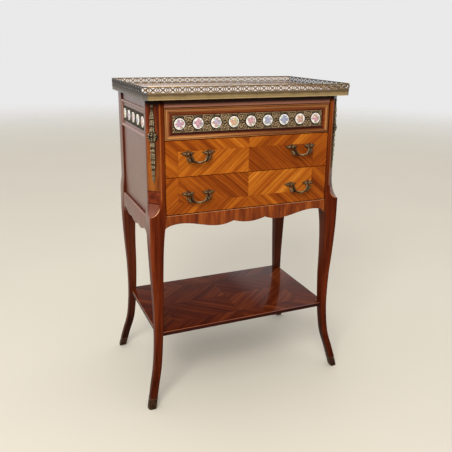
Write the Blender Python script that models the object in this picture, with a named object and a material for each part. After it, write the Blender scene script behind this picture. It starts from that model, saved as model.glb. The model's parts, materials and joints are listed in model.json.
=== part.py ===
"""Nightstand: a side cabinet on four curved legs, with three drawers, a shelf and a pierced brass gallery.

Metres, +Z up. The front faces -Y and the middle of the floor area is the origin.
"""

import math

import bmesh
import bpy
from mathutils import Matrix, Vector

# Heights, stacked from the floor up
LEG_HEIGHT = 0.4685
BOTTOM_DRAWER_HEIGHT = 0.0846
MIDDLE_DRAWER_HEIGHT = 0.0812
FRIEZE_HEIGHT = 0.0702
TOP_RAIL_HEIGHT = 0.0177
BAND_HEIGHT = 0.0136
GALLERY_HEIGHT = 0.0142

# Plan of the carcass and the top
CARCASS_WIDTH = 0.476
CARCASS_DEPTH = 0.289
TOP_SIDE_OVERHANG = 0.0130
TOP_FRONT_OVERHANG = 0.0155
TOP_BACK_OVERHANG = 0.0055
TOP_CANT = 0.010
BAND_THICK = 0.0025
GALLERY_THICK = 0.0016
GALLERY_PITCH = 0.0206
GALLERY_BAR = 0.0017
GALLERY_FOOT_RAIL = 0.0016
GALLERY_TOP_RAIL = 0.0024
GALLERY_RING = 0.0074
GALLERY_RING_HOLE = 0.0034
CHEEK_SLOT_WIDTH = 0.0056
CHEEK_SLOT_HEIGHT = 0.0070
OVAL_SIDES = 8

# Legs: share of the leg height, outward shift of the outer faces, width of a face
POST_SIDE = 0.0345
POST_CHAMFER = 0.0240
KNEE_BULGE = 0.0035
KNEE_BLEND = 0.040
KNEE_STEPS = 4
COVE_HEIGHT = 0.052
LEG_SHAPE = (
    (0.00, 0.0231, 0.0153),
    (0.10, 0.0127, 0.0157),
    (0.20, 0.0021, 0.0163),
    (0.30, -0.0025, 0.0169),
    (0.40, -0.0042, 0.0181),
    (0.55, -0.0031, 0.0216),
    (0.70, 0.0006, 0.0259),
    (0.86, 0.0033, 0.0312),
    (1.00, KNEE_BULGE, POST_SIDE + KNEE_BULGE),
)
LEG_STEPS = 20
SHORT_STEPS = 4
SABOT_HEIGHT = 0.025
SABOT_WALL = 0.0014
SABOT_LIP = 0.0008
SABOT_FLOOR = 0.004

# Sides and back
PANEL_RECESS = 0.0045
PANEL_THICK = 0.0145
SIDE_APRON_THICK = 0.0195
SIDE_APRON_PROUD = 0.0028
SIDE_APRON_STEP = 0.0060
SIDE_CENTRE_DROP = 0.0465
SIDE_CUSP_DROP = 0.0400
SIDE_LOBE_DROP = 0.0435
SIDE_ARCH_DROP = 0.0345
SIDE_BRACKET_DROP = 0.0500
SIDE_CUSP_AT = 0.0310
SIDE_LOBE_AT = 0.0560
SIDE_ARCH_AT = 0.0960
BACK_THICK = 0.009
BACK_DROP = 0.020

# Drawers
DRAWER_GAP = 0.0014
FRONT_THICK = 0.016
BOARD_THICK = 0.006
DRAWER_SIDE_THICK = 0.010
DRAWER_BACK_THICK = 0.009
DRAWER_BOTTOM_THICK = 0.005
DRAWER_BOTTOM_LIFT = 0.005
DRAWER_PLAY = 0.0010
DRAWER_HEADROOM = 0.004
DRAWER_BACK_SPACE = 0.014

# Frieze panel and plaques
FRAME_WIDTH = 0.0095
SIDE_FRAME_END = 0.0040
SIDE_FRAME_WIDTH = 0.0065
FRAME_RECESS = 0.006
STRIP_HEIGHT = 0.0365
STRIP_MARGIN = 0.0085
STRIP_THICK = 0.0012
PLAQUE_DIAMETER = 0.0265
PLAQUE_RISE = 0.0020
PLAQUE_SIDES = 20
PLAQUE_END_MARGIN = 0.0028
FRONT_PLAQUES = 9
SIDE_PLAQUES = 5
SIDE_STRIP_MARGIN = 0.0050

# Front apron: drops below the drawers, and where they fall from the middle, as for the side aprons
APRON_CENTRE_DROP = 0.0352
APRON_CUSP_DROP = 0.0282
APRON_LOBE_DROP = 0.0356
APRON_ARCH_DROP = 0.0218
APRON_BRACKET_DROP = 0.0345
APRON_CUSP_AT = 0.0405
APRON_LOBE_AT = 0.0760
APRON_ARCH_AT = 0.1700

# Shelf
SHELF_HEIGHT = 0.1813
SHELF_THICK = 0.010
SHELF_WIDTH = 0.4566
SHELF_DEPTH = 0.277

# Handles
HANDLE_INSET = 0.0750
HANDLE_SPAN = 0.049
MIDDLE_HANDLE_RISE = 0.0120
BOTTOM_HANDLE_RISE = 0.0045
BAIL_DROP = 0.0195
BAIL_RADIUS = 0.0024
BAIL_END_SHARE = 0.72
BAIL_LEAN = 0.004
BAIL_STANDOFF = 0.0085
BAIL_STEPS = 14
BAIL_ROUNDNESS = 1
PIN_RADIUS = 0.0011
PIN_HOLE_RADIUS = 0.0015
PIN_HOLE_SIDES = 12
PIN_LENGTH = 0.0035
ROSE_LENGTH = 0.031
ROSE_HEIGHT = 0.0115
ROSE_THICK = 0.0032
ROSE_RIPPLE = 0.12
ROSE_RIPPLES = 6
ROSE_SHARPNESS = 3
ROSE_POINTS = 24
LUG_SIDE = 0.0062

# Corner mounts
MOUNT_LENGTH = 0.170
MOUNT_WIDTH = 0.0135
MOUNT_NECK_SHARE = 0.45
MOUNT_SWELL_SHARE = 0.80
MOUNT_TAIL_SHARE = 0.20
MOUNT_TIP_SHARE = 0.12
MOUNT_CLUSTER_WIDTH = 0.0250
MOUNT_CLUSTER_AT = 0.40
MOUNT_CLUSTER_SPREAD = 0.05
MOUNT_HUSKS = 8
MOUNT_RIPPLE = 0.10
MOUNT_STEPS = 32
MOUNT_THICK = 0.0065
MOUNT_TOP_GAP = 0.010

# Gap kept between pieces that touch, and how far a cutter runs past what it cuts
CLEAR = 0.0003
OVERRUN = 0.010
CURVE_STEPS = 10
WELD_DISTANCE = 0.00001
EMPTY_SIZE = 0.02

# Levels and faces worked out from the sizes above
HALF_X = CARCASS_WIDTH / 2
HALF_Y = CARCASS_DEPTH / 2
OPENING_X = HALF_X - POST_SIDE
OPENING_Y = HALF_Y - POST_SIDE
HANDLE_AT = OPENING_X - HANDLE_INSET
FRONT_Y = -HALF_Y
BOTTOM_TOP = LEG_HEIGHT + BOTTOM_DRAWER_HEIGHT
MIDDLE_TOP = BOTTOM_TOP + MIDDLE_DRAWER_HEIGHT
FRIEZE_TOP = MIDDLE_TOP + FRIEZE_HEIGHT
CARCASS_TOP = FRIEZE_TOP + TOP_RAIL_HEIGHT
BAND_TOP = CARCASS_TOP + BAND_HEIGHT
TOP_X = HALF_X + TOP_SIDE_OVERHANG
TOP_FRONT = HALF_Y + TOP_FRONT_OVERHANG
TOP_BACK = HALF_Y + TOP_BACK_OVERHANG
PANEL_X = HALF_X - PANEL_RECESS
SIDE_APRON_TOP = LEG_HEIGHT - SIDE_APRON_STEP
BACK_INNER_Y = HALF_Y - BACK_THICK - CLEAR
BEHIND_FRONT_Y = FRONT_Y + FRONT_THICK

# Frames that turn a flat outline upright: facing the front, facing the right, lying flat
FACING_FRONT = Matrix(((1, 0, 0, 0), (0, 0, -1, 0), (0, 1, 0, 0), (0, 0, 0, 1)))
FACING_SIDE = Matrix(((0, 0, 1, 0), (1, 0, 0, 0), (0, 1, 0, 0), (0, 0, 0, 1)))
LYING_FLAT = Matrix.Identity(4)


def start_scene():
    """Empties the scene and makes the collections for the parts and the cutters."""
    for old in list(bpy.data.objects):
        bpy.data.objects.remove(old, do_unlink=True)
    for name in ("nightstand", "cutters"):
        bpy.context.scene.collection.children.link(bpy.data.collections.new(name))


def finish(name, colour, roughness, metallic=0.0):
    """Makes a plain Principled material."""
    material = bpy.data.materials.new(name)
    material.use_nodes = True
    shader = material.node_tree.nodes["Principled BSDF"]
    shader.inputs["Base Color"].default_value = (*colour, 1.0)
    shader.inputs["Roughness"].default_value = roughness
    shader.inputs["Metallic"].default_value = metallic
    return material


def add_object(name, mesh, material=None, parent=None):
    """Links an object to the parts, or to the cutters when it has no material."""
    piece = bpy.data.objects.new(name, mesh)
    if material:
        piece.data.materials.append(material)
        bpy.data.collections["nightstand"].objects.link(piece)
    else:
        bpy.data.collections["cutters"].objects.link(piece)
        piece.hide_render = True
        piece.display_type = "WIRE"
    if parent:
        piece.parent = parent
        piece.matrix_parent_inverse = parent.matrix_world.inverted()
    return piece


def add_empty(name, place, parent=None):
    """Adds an empty that stands on a joint's axis."""
    empty = bpy.data.objects.new(name, None)
    empty.empty_display_size = EMPTY_SIZE
    empty.matrix_world = Matrix.Translation(place)
    bpy.data.collections["nightstand"].objects.link(empty)
    if parent:
        empty.parent = parent
        empty.matrix_parent_inverse = parent.matrix_world.inverted()
    bpy.context.view_layer.update()
    return empty


def box(name, low, high, material=None, parent=None):
    """A board between two corners, with its origin at its middle."""
    shape = bmesh.new()
    bmesh.ops.create_cube(shape, size=1.0)
    sides = Vector(high) - Vector(low)
    bmesh.ops.scale(shape, vec=sides, verts=shape.verts)
    mesh = bpy.data.meshes.new(name)
    shape.to_mesh(mesh)
    shape.free()
    piece = add_object(name, mesh, material, parent)
    piece.location = (Vector(low) + Vector(high)) / 2
    return piece


def rod(name, radius, length, frame, sides, material=None, parent=None):
    """A round rod along the third axis of a frame, centred on it."""
    shape = bmesh.new()
    bmesh.ops.create_cone(
        shape, cap_ends=True, segments=sides, radius1=radius, radius2=radius, depth=length
    )
    mesh = bpy.data.meshes.new(name)
    shape.to_mesh(mesh)
    shape.free()
    piece = add_object(name, mesh, material, parent)
    piece.matrix_world = frame
    return piece


def mesh_of(curve_object):
    """Turns a curve object into a closed mesh and removes the curve."""
    bpy.context.view_layer.update()
    graph = bpy.context.evaluated_depsgraph_get()
    mesh = bpy.data.meshes.new_from_object(curve_object.evaluated_get(graph))
    shape = bmesh.new()
    shape.from_mesh(mesh)
    bmesh.ops.remove_doubles(shape, verts=shape.verts, dist=WELD_DISTANCE)
    bmesh.ops.recalc_face_normals(shape, faces=shape.faces)
    shape.to_mesh(mesh)
    shape.free()
    mesh.materials.clear()
    bpy.data.objects.remove(curve_object, do_unlink=True)
    return mesh


def plate(name, outlines, low, high, frame, material=None, parent=None):
    """A flat outline with any holes, in a frame's first two axes, thick from low to high on its third."""
    curve = bpy.data.curves.new(name, "CURVE")
    curve.dimensions = "2D"
    curve.fill_mode = "BOTH"
    curve.extrude = (high - low) / 2
    for points in outlines:
        spline = curve.splines.new("POLY")
        spline.points.add(len(points) - 1)
        for slot, (across, up) in zip(spline.points, points):
            slot.co = (across, up, 0.0, 1.0)
        spline.use_cyclic_u = True
    outline = bpy.data.objects.new(f"{name}_outline", curve)
    bpy.context.scene.collection.objects.link(outline)
    piece = add_object(name, mesh_of(outline), material, parent)
    piece.matrix_world = frame @ Matrix.Translation((0, 0, (low + high) / 2))
    return piece


def tube(name, points, radii, roundness, material=None, parent=None):
    """A round bar through points, with its own radius at each."""
    curve = bpy.data.curves.new(name, "CURVE")
    curve.dimensions = "3D"
    curve.bevel_depth = 1.0
    curve.bevel_resolution = roundness
    curve.use_fill_caps = True
    spline = curve.splines.new("POLY")
    spline.points.add(len(points) - 1)
    for slot, place, radius in zip(spline.points, points, radii):
        slot.co = (*place, 1.0)
        slot.radius = radius
    bar = bpy.data.objects.new(f"{name}_path", curve)
    bpy.context.scene.collection.objects.link(bar)
    return add_object(name, mesh_of(bar), material, parent)


def combine(piece, tool, operation):
    """Cuts, joins or meets a piece with a tool."""
    change = piece.modifiers.new(tool.name, "BOOLEAN")
    change.operation = operation
    change.solver = "EXACT"
    change.object = tool


def eased(stations, share, column):
    """Reads one column of a table of stations with a smooth curve through them."""
    last = len(stations) - 2
    index = min(max(sum(row[0] <= share for row in stations) - 1, 0), last)
    low, high = stations[index], stations[index + 1]
    before = stations[max(index - 1, 0)]
    after = stations[min(index + 2, last + 1)]
    run = high[0] - low[0]
    start_slope = (high[column] - before[column]) / (high[0] - before[0])
    end_slope = (after[column] - low[column]) / (after[0] - low[0])
    t = (share - low[0]) / run
    return (
        (2 * t**3 - 3 * t**2 + 1) * low[column]
        + (t**3 - 2 * t**2 + t) * run * start_slope
        + (3 * t**2 - 2 * t**3) * high[column]
        + (t**3 - t**2) * run * end_slope
    )


def leg_outer(height):
    """How far a leg's outer faces stand out from the carcass faces at a height."""
    if height <= LEG_HEIGHT:
        return eased(LEG_SHAPE, height / LEG_HEIGHT, 1)
    share = min((height - LEG_HEIGHT) / KNEE_BLEND, 1.0)
    return KNEE_BULGE * (1 - share) ** 2 * (1 + 2 * share)


def leg_inner(height):
    """How far a leg's inner faces stand out from the carcass faces, so below zero, at a height."""
    if height <= LEG_HEIGHT:
        return leg_outer(height) - eased(LEG_SHAPE, height / LEG_HEIGHT, 2)
    return -POST_SIDE


def spaced(low, high, steps):
    """Evenly spaced values with both ends."""
    return [low + (high - low) * step / steps for step in range(steps + 1)]


def sawn_outline(levels, half, sign, grow=0.0):
    """The outline of a leg seen square on, between its outer and inner faces at each level."""
    outer = [(sign * (half + leg_outer(level) + grow), level) for level in levels]
    inner = [(sign * (half + leg_inner(level) - grow), level) for level in reversed(levels)]
    return outer + inner


def sawn_length(name, levels, signs, grow=0.0, material=None):
    """A length of leg, sawn to the same outline from the front and from the side."""
    reach = HALF_X + POST_SIDE
    longer = [levels[0] - OVERRUN, *levels, levels[-1] + OVERRUN]
    front = sawn_outline(levels, HALF_X, signs[0], grow)
    side = sawn_outline(longer, HALF_Y, signs[1], grow)
    piece = plate(name, [front], -reach, reach, FACING_FRONT, material)
    combine(piece, plate(f"{name}_saw", [side], -reach, reach, FACING_SIDE), "INTERSECT")
    return piece


def add_leg(corner, signs, wood, bronze):
    """One leg with a tenon in its sabot, and the chamfer and cove of a front leg."""
    name = f"leg_{corner}"
    shoulder = SABOT_HEIGHT + CLEAR
    blend = spaced(LEG_HEIGHT, LEG_HEIGHT + KNEE_BLEND, KNEE_STEPS)[1:]
    levels = spaced(shoulder, LEG_HEIGHT, LEG_STEPS) + blend + [CARCASS_TOP - CLEAR]
    leg = sawn_length(name, levels, signs, 0.0, wood)
    tenon_levels = spaced(SABOT_FLOOR + CLEAR, shoulder + OVERRUN, SHORT_STEPS)
    combine(leg, sawn_length(f"{name}_tenon", tenon_levels, signs, -SABOT_WALL), "UNION")
    if signs[1] < 0:
        combine(leg, chamfer_cutter(f"{name}_chamfer", *signs), "DIFFERENCE")
    sabot_levels = spaced(0.0, SABOT_HEIGHT, SHORT_STEPS)
    sabot = sawn_length(f"sabot_{corner}", sabot_levels, signs, SABOT_LIP, bronze)
    hollow_levels = spaced(SABOT_FLOOR, SABOT_HEIGHT + OVERRUN, SHORT_STEPS)
    hollow = sawn_length(f"sabot_{corner}_hollow", hollow_levels, signs, CLEAR - SABOT_WALL)
    combine(sabot, hollow, "DIFFERENCE")


def corner_frame(sign_x, sign_y):
    """A frame at a carcass corner: first axis inwards on the diagonal, second up."""
    inward = Vector((-sign_x, -sign_y, 0)).normalized()
    up = Vector((0, 0, 1))
    across = inward.cross(up)
    frame = Matrix((inward, up, across)).transposed().to_4x4()
    frame.translation = (sign_x * HALF_X, sign_y * HALF_Y, 0)
    return frame


def chamfer_cutter(name, sign_x, sign_y):
    """The waste cut off a front post: a chamfer that sweeps out to the knee in a cove."""
    depth = POST_CHAMFER / math.sqrt(2)
    outside = -KNEE_BULGE * math.sqrt(2) - CLEAR
    cove = [
        (outside + (depth - outside) * math.cos(angle), LEG_HEIGHT + COVE_HEIGHT * (1 - math.sin(angle)))
        for angle in spaced(0.0, math.pi / 2, CURVE_STEPS)
    ]
    far = outside - OVERRUN
    above = CARCASS_TOP + OVERRUN
    outline = [(far, above), (depth, above)] + cove + [(far, LEG_HEIGHT)]
    return plate(name, [outline], -POST_SIDE, POST_SIDE, corner_frame(sign_x, sign_y))


def add_side(side, sign, wood, apron_wood, frame_wood, bronze):
    """Panel, apron, frieze frame and plaque strip of one side."""
    end = OPENING_Y - CLEAR
    low, high = sorted((sign * (PANEL_X - PANEL_THICK), sign * PANEL_X))
    box(
        f"side_panel_{side}",
        (low, -end, SIDE_APRON_TOP + CLEAR),
        (high, end, CARCASS_TOP - CLEAR),
        wood,
    )
    face = HALF_X + SIDE_APRON_PROUD
    low, high = sorted((sign * (face - SIDE_APRON_THICK), sign * face))
    plate(f"side_apron_{side}", [side_apron_outline()], low, high, FACING_SIDE, apron_wood)
    low, high = sorted((sign * (PANEL_X + CLEAR), sign * HALF_X))
    bottom, top = MIDDLE_TOP + FRAME_WIDTH, FRIEZE_TOP - FRAME_WIDTH
    outer = rectangle(-end, end, bottom - SIDE_FRAME_WIDTH, top + SIDE_FRAME_WIDTH)
    inner_end = end - SIDE_FRAME_END
    inner = rectangle(-inner_end, inner_end, bottom, top)
    plate(f"side_frieze_frame_{side}", [outer, inner], low, high, FACING_SIDE, frame_wood)
    add_plaque_strip(
        f"side_plaque_strip_{side}",
        inner_end - SIDE_STRIP_MARGIN,
        SIDE_PLAQUES,
        sign * (PANEL_X + CLEAR),
        sign,
        FACING_SIDE,
        bronze,
    )


def rectangle(left, right, bottom, top):
    """Corner points of a rectangle."""
    return [(left, bottom), (right, bottom), (right, top), (left, top)]


def add_plaque_strip(name, half_length, count, face, outward, frame, material, parent=None):
    """A thin strip on a ground face, with a round boss for each plaque, spaced evenly between its ends."""
    middle = (MIDDLE_TOP + FRIEZE_TOP) / 2
    outline = rectangle(-half_length, half_length, middle - STRIP_HEIGHT / 2, middle + STRIP_HEIGHT / 2)
    low, high = sorted((face, face + outward * STRIP_THICK))
    strip = plate(name, [outline], low, high, frame, material, parent)
    reach = half_length - PLAQUE_END_MARGIN - PLAQUE_DIAMETER / 2
    rise = STRIP_THICK + PLAQUE_RISE
    for number, across in enumerate(spaced(-reach, reach, count - 1)):
        place = frame @ Matrix.Translation((across, middle, face + outward * (rise / 2 + CLEAR)))
        boss = rod(f"{name}_boss_{number + 1}", PLAQUE_DIAMETER / 2, rise, place, PLAQUE_SIDES)
        combine(strip, boss, "UNION")


def side_apron_outline():
    """A side apron, seen from the right."""
    drops = (SIDE_CENTRE_DROP, SIDE_CUSP_DROP, SIDE_LOBE_DROP, SIDE_ARCH_DROP, SIDE_BRACKET_DROP)
    places = (SIDE_CUSP_AT, SIDE_LOBE_AT, SIDE_ARCH_AT)
    return lobed_outline(HALF_Y, SIDE_APRON_TOP, SIDE_APRON_TOP, drops, places)


def front_apron_outline():
    """The front apron, seen from the front."""
    drops = (APRON_CENTRE_DROP, APRON_CUSP_DROP, APRON_LOBE_DROP, APRON_ARCH_DROP, APRON_BRACKET_DROP)
    places = (APRON_CUSP_AT, APRON_LOBE_AT, APRON_ARCH_AT)
    return lobed_outline(HALF_X, LEG_HEIGHT - DRAWER_GAP / 2, LEG_HEIGHT, drops, places)


def lobed_outline(half_size, top, level, drops, places):
    """An apron between two legs: a middle lobe between two cusps, side lobes, arches and brackets."""
    centre, cusp, lobe, arch, end = (level - drop for drop in drops)
    cusp_at, lobe_at, arch_at = places
    half = []
    for share in spaced(0.0, 1.0, CURVE_STEPS // 2):
        half.append((cusp_at * share, centre + (cusp - centre) * share**2))
    for share in spaced(0.0, 1.0, CURVE_STEPS // 2)[1:]:
        half.append((cusp_at + (lobe_at - cusp_at) * share, lobe + (cusp - lobe) * (1 - share) ** 2))
    for share in spaced(0.0, 1.0, CURVE_STEPS)[1:]:
        rise = (arch - lobe) * (1 - math.cos(math.pi * share)) / 2
        half.append((lobe_at + (arch_at - lobe_at) * share, lobe + rise))
    half += bracket(arch_at, half_size, arch, end)
    half += leg_edge(half_size, end, top)
    return mirrored(half)


def bracket(start, half, arch_level, end_level):
    """A quarter round from the top of an arch down to the inner face of a leg."""
    end = half + leg_inner(end_level) - CLEAR
    return [
        (
            start + (end - start) * math.sin(angle),
            arch_level - (arch_level - end_level) * (1 - math.cos(angle)),
        )
        for angle in spaced(0.0, math.pi / 2, CURVE_STEPS // 2)[1:]
    ]


def leg_edge(half, low, high):
    """The end of an apron, following the inner face of a leg up to the apron's top."""
    return [(half + leg_inner(level) - CLEAR, level) for level in spaced(low, high, SHORT_STEPS)[1:]]


def mirrored(half):
    """A whole outline from its right half, which starts on the middle line."""
    left = [(-across, up) for across, up in reversed(half) if across > 0]
    return half + left


def canted_top(inset):
    """The top's outline, its two front corners cut off, drawn in by an even distance."""
    half = TOP_X - inset
    front = -TOP_FRONT + inset
    back = TOP_BACK - inset
    cant = TOP_CANT - inset * (2 - math.sqrt(2))
    return [
        (-half + cant, front),
        (half - cant, front),
        (half, front + cant),
        (half, back),
        (-half, back),
        (-half, front + cant),
    ]


def add_top(wood, brass):
    """Tabletop slab and the brass band round its edge."""
    plate("tabletop", [canted_top(BAND_THICK + CLEAR)], CARCASS_TOP, BAND_TOP, LYING_FLAT, wood)
    ring = [canted_top(0.0), canted_top(BAND_THICK)]
    plate("top_edge_band", ring, CARCASS_TOP, BAND_TOP, LYING_FLAT, brass)


def pierced_holes(length):
    """The holes of a gallery strip: crossed bars between oval rings, under a top rail."""
    bottom = BAND_TOP + CLEAR + GALLERY_FOOT_RAIL
    top = BAND_TOP + GALLERY_HEIGHT - GALLERY_TOP_RAIL
    middle = (bottom + top) / 2
    half_high = (top - bottom) / 2
    count = max(round(length / GALLERY_PITCH), 1)
    pitch = length / count
    half_cross = (pitch - GALLERY_RING) / 2
    diagonal = math.hypot(half_cross, half_high)
    rise = GALLERY_BAR / 2 * diagonal / half_cross
    reach = GALLERY_BAR / 2 * diagonal / half_high
    half_base = half_cross * (half_high - rise) / half_high
    half_side = half_high * (half_cross - reach) / half_cross
    holes = []
    for number in range(count):
        across = (number + 0.5) * pitch - length / 2
        for sign in (-1, 1):
            edge = middle + sign * half_high
            side = across + sign * half_cross
            holes.append(
                [(across, middle + sign * rise), (across + half_base, edge), (across - half_base, edge)]
            )
            holes.append(
                [(across + sign * reach, middle), (side, middle - half_side), (side, middle + half_side)]
            )
        if number:
            holes.append(oval(across - pitch / 2, middle, GALLERY_RING_HOLE / 2, GALLERY_RING_HOLE))
    return holes


def pierced_strip(name, length, low, high, frame, brass):
    """A strip that stands on the band, with its pattern of holes cut through."""
    outline = rectangle(-length / 2, length / 2, BAND_TOP + CLEAR, BAND_TOP + GALLERY_HEIGHT)
    strip = plate(name, [outline], low, high, frame, brass)
    holes = plate(f"{name}_holes", pierced_holes(length), low - OVERRUN, high + OVERRUN, frame)
    combine(strip, holes, "DIFFERENCE")
    return strip


def oval(across, up, half_width, half_height):
    """An oval of straight facets."""
    turns = [2 * math.pi * (step + 0.5) / OVAL_SIDES for step in range(OVAL_SIDES)]
    return [(across + half_width * math.cos(a), up + half_height * math.sin(a)) for a in turns]


def add_gallery(brass):
    """Four pierced strips that stand on the band. The front one turns round both canted corners."""
    inset = BAND_THICK / 2 - GALLERY_THICK / 2
    outer = TOP_FRONT - inset
    straight = 2 * (TOP_X - TOP_CANT)
    front = pierced_strip("gallery_front", straight, outer - GALLERY_THICK, outer, FACING_FRONT, brass)
    low = BAND_TOP + CLEAR
    high = BAND_TOP + GALLERY_HEIGHT
    cant_length = TOP_CANT * math.sqrt(2)
    for sign, name in ((-1, "left"), (1, "right")):
        end = rectangle(-cant_length / 2, cant_length / 2, low, high)
        slot = oval(0.0, (low + high) / 2, CHEEK_SLOT_WIDTH / 2, CHEEK_SLOT_HEIGHT / 2)
        turn = Matrix.Rotation(sign * math.pi / 4, 4, "Z")
        out = (TOP_X + TOP_FRONT - TOP_CANT) / math.sqrt(2) - inset
        shift = (TOP_X - TOP_FRONT) / math.sqrt(2) * sign
        cheek = plate(
            f"gallery_cheek_{name}",
            [end, slot],
            out - GALLERY_THICK,
            out,
            turn @ FACING_FRONT @ Matrix.Translation((shift, 0, 0)),
        )
        combine(front, cheek, "UNION")
    side_front = -TOP_FRONT + TOP_CANT + GALLERY_THICK + CLEAR
    rear = inset - TOP_BACK
    side_back = -rear - GALLERY_THICK - CLEAR
    middle = Matrix.Translation((0, (side_front + side_back) / 2, 0))
    for sign, name in ((-1, "left"), (1, "right")):
        edges = sorted((sign * (TOP_X - inset - GALLERY_THICK), sign * (TOP_X - inset)))
        pierced_strip(f"gallery_{name}", side_back - side_front, *edges, middle @ FACING_SIDE, brass)
    whole = 2 * (TOP_X - inset)
    pierced_strip("gallery_back", whole, rear, rear + GALLERY_THICK, FACING_FRONT, brass)


def add_shelf(wood):
    """The shelf between the legs, with a notch for each leg."""
    levels = spaced(SHELF_HEIGHT - SHELF_THICK, SHELF_HEIGHT, SHORT_STEPS)
    notch_x = HALF_X + min(leg_inner(level) for level in levels) - CLEAR
    notch_y = HALF_Y + min(leg_inner(level) for level in levels) - CLEAR
    half_x = SHELF_WIDTH / 2
    half_y = SHELF_DEPTH / 2
    quarter = [(half_x, notch_y), (notch_x, notch_y), (notch_x, half_y)]
    right_back = quarter
    left_back = [(-x, y) for x, y in reversed(quarter)]
    left_front = [(-x, -y) for x, y in quarter]
    right_front = [(x, -y) for x, y in reversed(quarter)]
    outline = right_back + left_back + left_front + right_front
    plate("shelf", [outline], SHELF_HEIGHT - SHELF_THICK, SHELF_HEIGHT, LYING_FLAT, wood)


def add_carcass_boards(wood, veneer, plain):
    """Top rail, front apron, back panel and the boards that carry the drawers."""
    end = OPENING_X - CLEAR
    box(
        "front_top_rail",
        (-end, FRONT_Y, FRIEZE_TOP + DRAWER_GAP / 2),
        (end, BEHIND_FRONT_Y, CARCASS_TOP - CLEAR),
        wood,
    )
    plate("front_apron", [front_apron_outline()], -BEHIND_FRONT_Y, -FRONT_Y, FACING_FRONT, veneer)
    box(
        "back_panel",
        (-end, HALF_Y - BACK_THICK, LEG_HEIGHT - BACK_DROP),
        (end, HALF_Y, CARCASS_TOP - CLEAR),
        plain,
    )
    boards = (("lower", LEG_HEIGHT), ("middle", BOTTOM_TOP), ("upper", MIDDLE_TOP))
    for name, level in boards:
        box(
            f"dust_board_{name}",
            (-end, BEHIND_FRONT_Y + CLEAR, level - BOARD_THICK / 2),
            (end, BACK_INNER_Y, level + BOARD_THICK / 2),
            plain,
        )


def add_drawer_box(name, low, high, parent, plain):
    """Sides, back and bottom behind a drawer front, between the boards at two levels."""
    floor = low + BOARD_THICK / 2 + CLEAR
    rim = high - BOARD_THICK / 2 - DRAWER_HEADROOM
    outer = OPENING_X - DRAWER_PLAY
    inner = outer - DRAWER_SIDE_THICK
    front = BEHIND_FRONT_Y + CLEAR
    back = BACK_INNER_Y - DRAWER_BACK_SPACE
    box(f"{name}_side_left", (-outer, front, floor), (-inner, back, rim), plain, parent)
    box(f"{name}_side_right", (inner, front, floor), (outer, back, rim), plain, parent)
    bottom_low = floor + DRAWER_BOTTOM_LIFT
    bottom_high = bottom_low + DRAWER_BOTTOM_THICK
    half = inner - CLEAR
    box(
        f"{name}_back",
        (-half, back - DRAWER_BACK_THICK, bottom_high + CLEAR),
        (half, back, rim),
        plain,
        parent,
    )
    box(f"{name}_bottom", (-half, front, bottom_low), (half, back, bottom_high), plain, parent)


def add_frieze_drawer(wood, frame_wood, bronze, plain):
    """The top drawer: a recessed front with a moulded frame round the plaque strip."""
    name = "frieze_drawer"
    axis = add_empty(f"{name}_slide", (0, FRONT_Y, (MIDDLE_TOP + FRIEZE_TOP) / 2))
    half = OPENING_X - DRAWER_PLAY
    low = MIDDLE_TOP + DRAWER_GAP / 2
    high = FRIEZE_TOP - DRAWER_GAP / 2
    ground = FRONT_Y + FRAME_RECESS
    box(f"{name}_front", (-half, ground, low), (half, BEHIND_FRONT_Y, high), wood, axis)
    inner_half = half - FRAME_WIDTH
    ring = [
        rectangle(-half, half, low, high),
        rectangle(-inner_half, inner_half, low + FRAME_WIDTH, high - FRAME_WIDTH),
    ]
    plate(f"{name}_frame", ring, -ground + CLEAR, -FRONT_Y, FACING_FRONT, frame_wood, axis)
    add_plaque_strip(
        f"{name}_plaque_strip",
        inner_half - STRIP_MARGIN,
        FRONT_PLAQUES,
        -ground + CLEAR,
        1,
        FACING_FRONT,
        bronze,
        axis,
    )
    add_drawer_box(name, MIDDLE_TOP, FRIEZE_TOP, axis, plain)


def add_drawer(name, low, high, handle_rise, veneer, plain, bronze):
    """A drawer with a veneered front and two handles."""
    middle = (low + high) / 2
    axis = add_empty(f"{name}_slide", (0, FRONT_Y, middle))
    half = OPENING_X - DRAWER_PLAY
    box(
        f"{name}_front",
        (-half, FRONT_Y, low + DRAWER_GAP / 2),
        (half, BEHIND_FRONT_Y, high - DRAWER_GAP / 2),
        veneer,
        axis,
    )
    add_drawer_box(name, low, high, axis, plain)
    for sign, side in ((-1, "left"), (1, "right")):
        add_handle(f"{name}_{side}", sign * HANDLE_AT, middle + handle_rise, axis, bronze)


def add_handle(name, across, level, drawer, bronze):
    """Two leaf roses with lugs, and a bail on pins in the lugs."""
    pivot_y = FRONT_Y - BAIL_STANDOFF
    for sign, end in ((-1, "left"), (1, "right")):
        add_rose(f"{name}_rose_{end}", across + sign * HANDLE_SPAN / 2, level, drawer, bronze)
    axis = add_empty(f"{name}_bail_pivot", (across, pivot_y, level), drawer)
    inside = HANDLE_SPAN / 2 - LUG_SIDE / 2 - CLEAR
    points = [(-inside - PIN_LENGTH, 0.0, 0.0), (-inside, 0.0, 0.0)]
    radii = [PIN_RADIUS, PIN_RADIUS]
    for angle in spaced(0.0, math.pi, BAIL_STEPS):
        sway = math.cos(angle)
        hang = math.sin(angle)
        points.append((-(inside - BAIL_RADIUS) * sway, -BAIL_LEAN * hang, -BAIL_DROP * hang))
        radii.append(BAIL_RADIUS * (BAIL_END_SHARE + (1 - BAIL_END_SHARE) * hang))
    points += [(inside, 0.0, 0.0), (inside + PIN_LENGTH, 0.0, 0.0)]
    radii += [PIN_RADIUS, PIN_RADIUS]
    bail = tube(f"{name}_bail", points, radii, BAIL_ROUNDNESS, bronze)
    bail.parent = axis


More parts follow.
